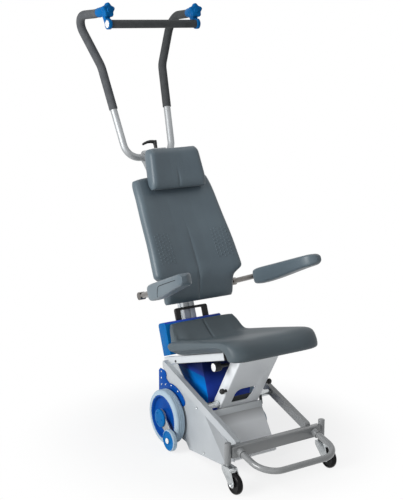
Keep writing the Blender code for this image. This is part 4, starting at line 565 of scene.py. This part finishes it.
# %% [markdown]
# ## Push handle
# The handle is one aluminium tube, bent out from the mast head, up, and forward at the top. Foam sleeves cover
# its upper arms, and a foam bar joins their ends. The tube and its sleeves follow the same path, so one function
# gives the path and the sleeve takes a stretch of it.


# %% Handle tube
def handle_side(sign):
    """Half of the handle's middle line, from the mast head to the clamp."""
    corners = [(0, 0, 0), (sign * 0.104, 0, 0), (sign * 0.14, 0.008, 0.38), (sign * 0.222, -0.004, 0.586),
               (sign * 0.2054, -0.1413, 0.5437), (sign * 0.198, -0.203, 0.531)]
    return bent_path(corners, (0.062, 0.12, 0.055, 0.15), 12)


TUBE_RADIUS = 0.014
bm = swept(bmesh.new(), handle_side(-1)[::-1] + handle_side(1)[1:], TUBE_RADIUS, handle_frame)
stand_in("bent_handle", bm, "handle_tube")

# %% Foam sleeves
SLEEVE_FOOT, SLEEVE_RADIUS, SLEEVE_END, SLEEVE_ROUND = 0.202, 0.0171, 0.0156, 0.0016
CLAMP_REAR = 0.0405
for side, sign in SIDES:
    path = handle_side(sign)
    first = next(i for i, point in enumerate(path) if point.z > SLEEVE_FOOT)
    share = (SLEEVE_FOOT - path[first - 1].z) / (path[first].z - path[first - 1].z)
    nose = (path[-1] - path[-2]).normalized()
    stretch = [path[first - 1].lerp(path[first], share), *path[first:-1], path[-1] - nose * CLAMP_REAR]
    lead = (stretch[1] - stretch[0]).normalized() * SLEEVE_ROUND
    stretch = [stretch[0], stretch[0] + lead, *stretch[1:-1], stretch[-1] - nose * SLEEVE_ROUND, stretch[-1]]
    bm = swept(bmesh.new(), stretch, [SLEEVE_END] + [SLEEVE_RADIUS] * (len(stretch) - 2) + [SLEEVE_END], handle_frame)
    # The far, left sleeve takes the darker foam of the bar, as painted shade.
    stand_in(f"foam_sleeve_{side}", bm, f"grip_sleeve_{side}", surface=grip_foam if sign < 0 else bar_foam)

# %% Foam bar and its end caps
BAR_Y, BAR_Z, BAR_HALF, BAR_RADIUS = -0.215, 0.476, 0.203, 0.016
bar_place = handle_frame @ at(0, BAR_Y, BAR_Z) @ sideways(1)
bar_profile = [(0, BAR_HALF), (BAR_RADIUS, BAR_HALF), (BAR_RADIUS, -BAR_HALF), (0, -BAR_HALF)]
bm = turned(bmesh.new(), bar_profile, bar_place, 48, ease=0.0016, closed=False)
stand_in("foam_bar", bm, "push_bar")
bm = bmesh.new()
end_cap = [(0, 0.0016), (0.0132, 0.0014), (0.0148, 0.0002), (0.0148, -0.0005), (0, -0.0005)]
for turn in (math.pi, 0.0):
    turned(bm, end_cap, bar_place @ Matrix.Rotation(turn, 4, "X") @ at(0, 0, BAR_HALF), 40, closed=False)
hand_over("bar_end_caps", bm, "push_bar", surface=white_moulding)

# %% [markdown]
# ## Bar clamps
# A blue clamp joins each end of the bar to the handle. The CAD casting has the collar and the ring, and its
# edges are eased here. The ring is made narrower, as the photograph shows it, and the neck above it is filled with
# a wedge, wide at the collar and narrow at the ring.

# %% Bar clamps
RING_REACH, RING_TRIM = 0.0225, 0.009
to_handle = handle_frame.inverted()
for side, sign in SIDES:
    bm = eased(f"bar_clamp_{side}", 0.0012)
    ring = [v for v in bm.verts if (to_handle @ v.co - Vector((0, BAR_Y, BAR_Z))).yz.length < RING_REACH]
    middle = 0.5 * (min(v.co.x for v in ring) + max(v.co.x for v in ring))
    for vert in ring:
        if (vert.co.x - middle) * sign < 0:
            vert.co.x += sign * RING_TRIM
    spot = handle_frame @ at(sign * 0.196, -0.208, 0.5045) @ Matrix.Diagonal((1, 0.6, 1, 1))
    wedge = bmesh.ops.create_cone(bm, cap_ends=True, segments=4, radius1=0.013, radius2=0.024, depth=0.024,
                                  matrix=spot @ Matrix.Rotation(math.pi / 4, 4, "Z"))["verts"]
    round_edges(bm, edges_of(wedge), 0.0025)
    stand_in(f"bar_clamp_{side}_eased", bm, f"bar_clamp_{side}")

# %% [markdown]
# ## Star knobs and clamp lever
# Two blue star knobs clamp the bar's height, and a black lever clamps the handle's angle. A star is a circle
# whose points move in and out five times round, extruded and rounded. The lever is a stem with a tapering arm.


# %% Star knobs
KNOB_RADIUS, KNOB_DEPTH, KNOB_GAP = 0.0245, 0.022, 0.0123


def star_knob(sign):
    """A knob of five lobes at the handle's end, with a small dome in its face."""
    path = handle_side(sign)
    axis = (path[-1] - path[-2]).normalized()
    seat = path[-1] + axis * KNOB_GAP
    place = handle_frame @ at(*seat) @ axis.to_track_quat("Z", "Y").to_matrix().to_4x4()
    bm = bmesh.new()
    ring = bmesh.ops.create_circle(bm, cap_ends=True, segments=60, radius=KNOB_RADIUS)["verts"]
    for vert in ring:
        lobe = math.cos(5 * math.atan2(vert.co.x, vert.co.y))
        vert.co *= 1.04 + 0.14 * lobe
    pulled(bm, (0, 0, KNOB_DEPTH))
    rims = [e for e in bm.edges if abs(e.verts[0].co.z - e.verts[1].co.z) < 0.001]
    round_edges(bm, rims, 0.0065, 5, clamp=True)
    bmesh.ops.transform(bm, matrix=place, verts=bm.verts)
    dome = [(0, 0.0036), (0.009, 0.003), (0.011, 0.0), (0, 0.0)]
    turned(bm, dome, place @ at(0, 0, 0.0215), 32, closed=False)
    return bm


for side, sign in SIDES:
    stand_in(f"star_knob_{side}", star_knob(sign), f"clamp_knob_{side}", crease=40)

# %% Clamp lever
lever_place = recline @ at(0, 0.116, 0.6223)
stem = [(0, 0.037), (0.0082, 0.036), (0.0086, 0.024), (0.0074, 0.02), (0.0068, 0.004), (0.0078, 0.0), (0, 0.0)]
bm = turned(bmesh.new(), stem, lever_place, 32, ease=0.001, closed=False)
arm = [(0.002, 0, 0.029), (-0.01, 0, 0.0318), (-0.022, 0, 0.0326), (-0.034, 0, 0.0312), (-0.046, 0, 0.0276),
       (-0.055, 0, 0.0235), (-0.0575, 0, 0.0222)]
swept(bm, [Vector(p) for p in arm], [0.0072, 0.007, 0.0064, 0.0056, 0.005, 0.0044, 0.0022], lever_place, 20)
stand_in("tilt_lever", bm, "clamp_lever")

# %% [markdown]
# ## Foam pads
# The seat, back and head pads are moulded foam with its own skin, so they have no seams or weave: soft rolled
# edges, shallow grooves and a fine grain. Each is a coarse cage of quads, and a Subdivision Surface turns the
# cage into soft foam. The back and the head start as welded copies of their CAD solids, whose rings are clean.


# %% From a CAD cage to soft foam
def pad_cage(node, ends):
    """A welded cage of quads whose flat end faces, square to the direction `ends`, are single faces."""
    bm = welded(node)
    for way in (-1, 1):
        cap = [f for f in bm.faces if f.normal.dot(ends) * way > 0.9995]
        level = max((f.calc_center_median().dot(ends) * way for f in cap), default=0)
        cap = [f for f in cap if f.calc_center_median().dot(ends) * way > level - 0.0005]
        whole = bmesh.ops.dissolve_faces(bm, faces=cap)["region"]
        bmesh.ops.inset_region(bm, faces=whole, thickness=0.003, use_even_offset=True)
    triangles = [f for f in bm.faces if len(f.verts) == 3]
    bmesh.ops.join_triangles(bm, faces=triangles, angle_face_threshold=math.pi, angle_shape_threshold=math.pi)
    return bm


def foam(name, bm, node):
    piece = stand_in(name, bm, node, crease=180)
    rounding = piece.modifiers.new("soft", "SUBSURF")
    rounding.levels = rounding.render_levels = 2
    return piece


def smooth(low, high, value):
    """0 below low, 1 above high and an S-curve between them."""
    t = min(max((value - low) / (high - low), 0.0), 1.0)
    return t * t * (3 - 2 * t)


# %% [markdown]
# The photograph shows a soft crease up the middle of the back, and a short one in the head pad. Two cuts beside
# the middle line give the cage a narrow strip there, and pushing the middle in makes the crease. More cuts let the
# front swell towards its sides, so that in the picture its left half looks darker than its right one.


# %% Back and head pads
def press_crease(bm, half_width, depth, inward, span):
    """Cuts along the middle line and beside it, and pushes the middle in, where span says so."""
    for x in (-half_width, 0.0, half_width):
        cut_across(bm, (x, 0, 0), (1, 0, 0))
    for vert in bm.verts:
        if abs(vert.co.x) < half_width / 2 and span(to_recline @ vert.co):
            vert.co += inward * depth


def swell(bm, half, rise, inward):
    """Cuts the cage lengthways and brings the front's sides forward, so that it is a shallow trough."""
    for share in (-0.75, -0.5, -0.25, 0.25, 0.5, 0.75):
        cut_across(bm, (share * half, 0, 0), (1, 0, 0))
    front = min((to_recline @ v.co).y for v in bm.verts)
    back = max((to_recline @ v.co).y for v in bm.verts)
    for vert in bm.verts:
        share = smooth(0.0, 1.0, (back - (to_recline @ vert.co).y) / (back - front))
        vert.co -= inward * (rise * share * min(abs(vert.co.x) / half, 1.0) ** 2)


back_up = recline.to_3x3() @ Vector((0, 0, 1))
back_in = recline.to_3x3() @ Vector((0, 1, 0))
to_recline = recline.inverted()
bm = pad_cage("backrest_pad", back_up)
swell(bm, max(v.co.x for v in bm.verts), 0.008, back_in)
crown = max((to_recline @ v.co).z for v in bm.verts)
for vert in bm.verts:
    inner = 1 - smooth(0.1, 0.2, abs(vert.co.x))
    vert.co += back_up * ((0.003 + 0.014 * inner) * smooth(crown - 0.05, crown, (to_recline @ vert.co).z))
press_crease(bm, 0.004, 0.0018, back_in, lambda p: p.z < 0.228 and p.y < 0.0)
back_foam = foam("back_foam", bm, "backrest_pad")
bm = pad_cage("headrest_pad", back_up)
swell(bm, max(v.co.x for v in bm.verts), 0.006, back_in)
press_crease(bm, 0.005, 0.0035, back_in, lambda p: p.z < 0.485 and p.y < 0.0)
for vert in bm.verts:
    climb = smooth(0.4, 0.58, (to_recline @ vert.co).z)
    vert.co += back_up * (0.008 * climb)
    vert.co.x *= 1.03 - 0.06 * climb
foam("head_foam", bm, "headrest_pad")

# %% [markdown]
# ## Bucket seat
# The seat is a bucket with a raised heel, rolled sides and a lip that drops over the knees. Its outline changes
# all the way across, so the cage is one ring of points, extruded from the right side to the left and reshaped at
# each step. The points are the CAD model's own outline, with a crease added up the middle of the heel.


# %% The seat's outline at one place across it
SEAT_HALF, SEAT_NOSE, HEEL, DISH, UPSTAND = 0.187, 0.574, 0.15, 0.038, 0.123


def seat_cut(x):
    """The seat's outline at x, in the seat's frame, drawn in towards a thin spine near the sides."""
    edge = abs(x) / SEAT_HALF
    full = 0.3 + 0.7 * math.sqrt(max(1 - edge ** 8, 0))
    bolster = 0.02 * smooth(0.35, 0.85, edge)
    base = 0.0003 + 0.012 * smooth(0.1485, 0.175, abs(x))
    rear, nose_top = DISH + bolster, DISH + 0.3 * bolster
    rise = 1 - smooth(0.138, 0.162, abs(x))
    nose = SEAT_NOSE - 0.035 * (1 - math.sqrt(max(1 - edge ** 5, 0)))
    crest = rear + (UPSTAND - rear) * rise
    lean = (HEEL - 0.108) / (UPSTAND - DISH)
    tip = HEEL - 0.01 - lean * (crest - DISH)
    foot = HEEL - 0.032
    front = HEEL - 0.02 * smooth(0.1, 0.148, abs(x)) * rise
    pinch = 0.006 if abs(x) < 0.001 else 0.0
    spine = (foot + 0.013, 0.5 * (base + rear))
    heel = [(foot - 0.5 * lean * (crest - base), base + 0.5 * (crest - base)), (tip - 0.026, crest - 0.008),
            (tip - 0.02, crest - 0.001), (tip - 0.008 - pinch, crest - 0.5 * pinch),
            (tip - pinch, crest - 0.006 * rise), (0.5 * (tip + front) - 0.002 - pinch, rear + 0.5 * (crest - rear))]
    floor_run = [(front - pinch, rear + (crest - rear) * 0.1 + 0.001), (front + 0.022, rear - 0.3 * pinch),
                 (HEEL + 0.12, rear + (nose_top - rear) * 0.25), (HEEL + 0.22, rear + (nose_top - rear) * 0.6),
                 (nose - 0.1, nose_top), (nose - 0.052, nose_top - 0.004)]
    lip = [(nose - 0.024, nose_top - 0.017), (nose - 0.008, nose_top - 0.036), (nose, nose_top - 0.058),
           (nose - 0.004, -0.034), (nose - 0.014, -0.04), (nose - 0.03, -0.038), (nose - 0.04, -0.026),
           (nose - 0.056, base - 0.01)]
    under = [(nose - 0.075, base), (nose - 0.22, base), (HEEL + 0.04, base), (HEEL + 0.002, base),
             (foot + 0.004, base + 0.003), (foot, base + 0.016)]
    points = [(f, h, spine[0], min(h, spine[1])) for f, h in heel]
    points += [(f, h, f, spine[1]) for f, h in floor_run]
    points += [(f, h, nose - 0.018, max(h, -0.022)) for f, h in lip]
    points += [(f, h, max(f, spine[0]), spine[1]) for f, h in under]
    return [Vector((x, -(sf + (f - sf) * full), sh + (h - sh) * full)) for f, h, sf, sh in points]


# %% The seat pad
half_row = (0.006, 0.021, 0.042, 0.062, 0.081, 0.1, 0.117, 0.13, 0.137, 0.145, 0.154, 0.163, 0.17, 0.177, 0.1823,
            0.1858, SEAT_HALF)
across_seat = [-x for x in reversed(half_row)] + [0.0, *half_row]
bm = bmesh.new()
ring = [bm.verts.new(point) for point in seat_cut(across_seat[0])]
edges = [bm.edges.new(pair) for pair in zip(ring, ring[1:] + ring[:1])]
ends = [ring]
bmesh.ops.edgeloop_fill(bm, edges=edges)
for x in across_seat[1:]:
    number = {tuple(vert.co): k for k, vert in enumerate(ring)}
    ring, edges = extruded(bm, edges)
    ring.sort(key=lambda v: number[tuple(v.co)])
    for vert, point in zip(ring, seat_cut(x)):
        vert.co = point
ends.append(ring)
bmesh.ops.edgeloop_fill(bm, edges=edges)
FLOOR_RUN, UNDER_RUN = slice(6, 12), slice(20, 26)
for ring in ends:
    for upper, lower in zip(ring[FLOOR_RUN], reversed(ring[UNDER_RUN])):
        side_face = next(f for f in upper.link_faces if lower in f.verts)
        bmesh.utils.face_split(side_face, upper, lower)
hold = bm.edges.layers.float.new("crease_edge")
for edge in bm.edges:
    if edge.calc_face_angle(0) > math.radians(20) and all(v.co.z > 0.045 and v.co.y > -0.18 for v in edge.verts):
        edge[hold] = 0.5
bmesh.ops.transform(bm, matrix=seat_slope, verts=bm.verts)
foam("seat_foam", bm, "seat_pad")

# %% [markdown]
# ## Armrests
# Each armrest is a paddle of the same foam: deep at the tube, thinner and wider towards a round tip. A rounded
# ring is extruded along the arm and resized at each step.


# %% Paddles
ARM_LENGTH = 0.34
ARM_SPLAY = math.radians(7)
STATIONS = (0.0, 0.004, 0.014, 0.032, 0.07, 0.12, 0.18, 0.24, 0.28, 0.305, 0.318, 0.328, 0.335, 0.339, ARM_LENGTH)


def arm_axes(sign):
    """The arm's way forward, its way across and the pad's start, all in the armrest's frame."""
    along = Vector((sign * math.sin(ARM_SPLAY), -math.cos(ARM_SPLAY), 0))
    across = Vector((-along.y, along.x, 0))
    return along, across, Vector((sign * 0.2084, 0, 0)) + across * (sign * 0.009) + along * 0.138


def paddle(sign):
    """The cage of one armrest, a ring that is extruded from station to station along it."""
    along, across, start = arm_axes(sign)
    basis = Matrix((across, (0, 0, 1), along)).transposed().to_4x4()
    bm = bmesh.new()
    ring = bmesh.ops.create_circle(bm, cap_ends=True, segments=24, radius=1.0)["verts"]
    for vert in ring:
        vert.co = Vector([math.copysign(abs(c) ** 0.42, c) for c in vert.co])
    edges = edges_of(ring)
    spot = Matrix()
    for s in STATIONS:
        height = 0.064 - 0.02 * smooth(0.15, 1.0, s / ARM_LENGTH)
        middle = 0.0285 - height / 2
        width = 0.058 * (0.86 + 0.2 * smooth(0.1, 0.9, s / ARM_LENGTH))
        near = max(0.0, 1 - s / 0.032) ** 2
        tip = max(0.0, 1 - (ARM_LENGTH - s) / 0.055)
        end = max(0.0, 1 - (ARM_LENGTH - s) / 0.026)
        narrow = math.sqrt(1 - 0.92 * tip ** 2)
        aside = across * (sign * 0.35 * width * (1 - narrow))
        width *= narrow * (1 - 0.16 * near)
        height *= math.sqrt(1 - 0.85 * end ** 2) * (1 - 0.2 * near)
        centre = start + along * s + aside + Vector((0, 0, middle))
        here = arm_frame @ at(*centre) @ basis @ Matrix.Diagonal((width / 2, height / 2, 1, 1))
        if s > 0:
            ring, edges = extruded(bm, edges)
        bmesh.ops.transform(bm, matrix=here @ spot.inverted(), verts=ring)
        spot = here
    bmesh.ops.edgeloop_fill(bm, edges=edges)
    return bm


arm_foam = {}
for side, sign in SIDES:
    arm_foam[side] = foam(f"arm_foam_{side}", paddle(sign), f"armrest_pad_{side}")

# %% [markdown]
# ## Moulded lines and pimples
# The mould leaves a fine L-shaped line on the outer side of each armrest, and two fields of small pimples on the
# back, where they let air through. Both have to lie on the finished, subdivided foam, so each point is found by
# casting a ray at it. The line is a thin dark bead, whose colour is the painted shade of a fine groove.


# %% Find a point on the foam
def on_foam(piece, start, way):
    """Where a ray from start meets the subdivided piece, and the surface's direction there."""
    smoothed = piece.evaluated_get(bpy.context.evaluated_depsgraph_get())
    _hit, spot, normal, _face = smoothed.ray_cast(start, way)
    return spot, normal


# %% Armrest lines
line_plan = [(0.098, -0.026), (0.106, -0.014), (0.116, -0.002), (0.124, 0.0065), (0.13, 0.0095), (0.15, 0.01),
             (0.2, 0.0105), (0.25, 0.0105), (0.296, 0.0105)]
for side, sign in SIDES:
    along, across, start = arm_axes(sign)
    away = across * sign
    path = []
    for s, h in line_plan:
        outside = start + along * s + Vector((0, 0, h - 0.0005)) + away * 0.1
        path.append(on_foam(arm_foam[side], arm_frame @ outside, -(arm_frame.to_3x3() @ away))[0])
    # The line is a thin dark bead, whose dark colour is the painted shade of a fine groove.
    bm = swept(bmesh.new(), path, 0.0013, sides=8)
    hand_over(f"arm_groove_shade_{side}", bm, f"armrest_pad_{side}", surface=pad_shadow)

# %% Back pimples
bm = bmesh.new()
for _side, sign in SIDES:
    for column in range(5):
        for row in range(9):
            x = sign * (0.098 + 0.015 * column)
            u = 0.152 + 0.0134 * (row + 0.5 * (column % 2))
            spot, normal = on_foam(back_foam, recline @ Vector((x, -0.2, u)), back_in)
            place = Matrix.LocRotScale(spot, normal.to_track_quat("Z", "Y"), Vector((1, 1, 0.7)))
            bmesh.ops.create_uvsphere(bm, u_segments=8, v_segments=5, radius=0.0034, matrix=place)
hand_over("back_pimples", bm, "backrest_pad")

# %% [markdown]
# ## Rivets and screws
# Small fasteners tell how the chair goes together: rivets hold the blue guard to the side plate, and screws hold
# the plate and the seat's rails to the frame.

# %% Rivets and screws
rivet = [(0, 0.0018), (0.0024, 0.0014), (0.0036, 0.0004), (0.0036, 0), (0, 0)]
rivet_spots = ((0.078, 0.258), (0.078, 0.232), (0.078, 0.206), (0.048, 0.214), (0.006, 0.222), (-0.042, 0.213))
for side, sign in SIDES:
    bm = bmesh.new()
    for y, z in rivet_spots:
        turned(bm, rivet, outward(sign, 0.1458, y, z), 16, closed=False)
    hand_over(f"guard_rivets_{side}", bm, f"wheel_guard_{side}", surface=zinc_plate)
bm = bmesh.new()
for y, z in ((-0.1724, 0.189), (-0.22, 0.0298)):
    screw_head(bm, outward(-1, 0.1425, y, z), 0.0045, 0.0024)
hand_over("plate_screws", bm, "side_plate_right", surface=zinc_plate)
bm = bmesh.new()
for _side, sign in SIDES:
    screw_head(bm, seat_slope @ at(sign * 0.1424, -0.086, -0.019) @ sideways(sign), 0.0046, 0.0026)
hand_over("rail_screws", bm, "seat_rail_right", surface=black_moulding)

# %% [markdown]
# ## Panel shaft and shield
# The support panel turns on a round shaft. A plain sleeve on each side keeps the panel in the middle, and a dark
# spacer shows through the hand hole. The shield below ends in a flat lip, with an ear up to the shaft whose dark tint
# is painted shade.

# %% Sleeves and spacer on the panel's shaft
SHAFT_Y, SHAFT_Z = -0.229, 0.214
sleeve = [(0.0084, 0), (0.0125, 0), (0.0125, 0.047), (0.0084, 0.047)]
bm = bmesh.new()
for _side, sign in SIDES:
    turned(bm, sleeve, outward(sign, 0.0895, SHAFT_Y, SHAFT_Z), 40, ease=0.0012)
hand_over("shaft_sleeves", bm, "panel_shaft")
spacer = [(0.0084, 0), (0.012, 0), (0.012, 0.166), (0.0084, 0.166)]
bm = turned(bmesh.new(), spacer, outward(1, -0.083, SHAFT_Y, SHAFT_Z), 40, ease=0.0012)
hand_over("shaft_spacer", bm, "panel_shaft", surface=bar_foam)

# %% Lip and ear of the shield
lip_place = chassis @ at(-0.0221, -0.2478, 0.1848, math.radians(17))
bm = block(bmesh.new(), lip_place, (0.2342, 0.006, 0.0243), 0.0014)
hand_over("shield_lip", bm, "lower_shield", surface=pale_paint)
# The ear is metal, and its dark tint is painted shade.
ear_place = chassis @ at(0.0935, -0.244, 0.1975, math.radians(12))
bm = block(bmesh.new(), ear_place, (0.0125, 0.003, 0.034), 0.001, 2)
hand_over("shield_ear", bm, "lower_shield", surface=bar_foam)

# %% [markdown]
# ## Plugs and lock knob
# Black plugs close the ends of the seat rails. A black knob with a pale face pulls out to free the panel.

# %% Rail plugs and the lock knob
bm = bmesh.new()
for _side, sign in SIDES:
    block(bm, seat_slope @ at(sign * 0.1335, -0.4265, -0.014), (0.0175, 0.004, 0.0275), 0.0014)
hand_over("rail_plugs", bm, "seat_rail_right", surface=black_moulding)
knob = [(0, 0.062), (0.015, 0.062), (0.0165, 0.06), (0.0165, 0.04), (0.015, 0.034), (0.006, 0.034), (0.006, 0),
        (0, 0)]
knob_place = outward(-1, 0.0873, -0.292, 0.38)
bm = turned(bmesh.new(), knob, knob_place, 48, ease=0.0008, closed=False)
stand_in("lock_pull", bm, "lock_knob")
knob_face = [(0, 0.0012), (0.013, 0.001), (0.0146, 0.0), (0, 0.0)]
bm = turned(bmesh.new(), knob_face, knob_place @ at(0, 0, 0.0621), 40, closed=False)
hand_over("lock_face", bm, "lock_knob", surface=white_moulding)

# %% [markdown]
# ## Studio
# The picture has a white ground with a faint shadow. The floor and the world look white to the camera and to
# reflections, while the object itself is lit at a plain level by a large lamp on the left, a weaker one in
# front and a little light from above.


# %% World
def is_seen(tree):
    """1 for rays from the camera, from a glossy surface or through glass."""
    path = new_node(tree, "LightPath").outputs
    near = new_node(tree, "Math", {0: path["Is Camera Ray"], 1: path["Is Glossy Ray"]}, "MAXIMUM")
    return new_node(tree, "Math", {0: near.outputs[0], 1: path["Is Transmission Ray"]}, "MAXIMUM").outputs[0]


world = bpy.data.worlds.new("white_studio")
bpy.context.scene.world = world
world.use_nodes = True
tree = world.node_tree
dim_sky = feed(tree, tree.nodes["Background"], {"Color": (0.92, 0.96, 1.0, 1), "Strength": 0.2})
white_sky = new_node(tree, "Background", {"Color": (1, 1, 1, 1)})
mix = new_node(tree, "MixShader", {0: is_seen(tree), 1: dim_sky.outputs[0], 2: white_sky.outputs[0]})
feed(tree, tree.nodes["World Output"], {"Surface": mix.outputs[0]})

# %% Floor
ground = bpy.data.materials.new("pale_floor")
ground.use_nodes = True
tree = ground.node_tree
tree.nodes.remove(tree.nodes["Principled BSDF"])
paint = new_node(tree, "BsdfDiffuse", {"Color": (0.9, 0.9, 0.9, 1)})
glow = new_node(tree, "Emission")
spot = new_node(tree, "TexCoord")
reach = new_node(tree, "VectorMath", {0: spot.outputs["Object"]}, "LENGTH")
fade = new_node(tree, "MapRange", {"Value": reach.outputs["Value"], "From Min": 0.36, "From Max": 0.78, "To Min": 0.78})
fade.interpolation_type = "SMOOTHSTEP"
share = new_node(tree, "Math", {0: is_seen(tree), 1: fade.outputs["Result"]}, "MULTIPLY")
mix = new_node(tree, "MixShader", {0: share.outputs[0], 1: paint.outputs[0], 2: glow.outputs[0]})
feed(tree, tree.nodes["Material Output"], {"Surface": mix.outputs[0]})
bm = bmesh.new()
bmesh.ops.create_circle(bm, cap_ends=True, segments=64, radius=9.0)
floor_mesh = bpy.data.meshes.new("floor")
bm.to_mesh(floor_mesh)
bm.free()
floor_mesh.materials.append(ground)
floor = bpy.data.objects.new("floor", floor_mesh)
bpy.context.scene.collection.objects.link(floor)
print("white floor and sky")


# %% Lamps and camera
def lamp(name, place, size, watts):
    """A square lamp that points at the middle of the chair."""
    light = bpy.data.lights.new(name, "AREA")
    light.size = size
    light.energy = watts
    thing = bpy.data.objects.new(name, light)
    thing.location = place
    thing.rotation_euler = (Vector((0, 0, 0.7)) - Vector(place)).to_track_quat("-Z", "Y").to_euler()
    bpy.context.scene.collection.objects.link(thing)


lamp("key_left", (-3.0, -0.3, 1.7), 1.8, 104)
lamp("fill_front", (-0.8, -3.4, 1.0), 2.6, 11)
lamp("top", (0.3, 0.3, 3.4), 2.4, 16)

SENSOR = 36.0
FOCAL_PIXELS, PICTURE_PIXELS = 1060, 500
CAMERA_DROP, CAMERA_TURN = 12.42, 32.62
camera = bpy.data.cameras.new("camera")
camera.sensor_fit = "VERTICAL"
camera.sensor_width = camera.sensor_height = SENSOR
camera.lens = SENSOR * FOCAL_PIXELS / PICTURE_PIXELS
shot = bpy.data.objects.new("camera", camera)
shot.location = (-2.108, -3.274 + AXLE_Y, 1.591)
shot.rotation_euler = (math.radians(90 - CAMERA_DROP), 0, math.radians(-CAMERA_TURN))
bpy.context.scene.collection.objects.link(shot)
bpy.context.scene.camera = shot
bpy.context.scene.view_settings.view_transform = "Standard"
print("camera and lamps set")
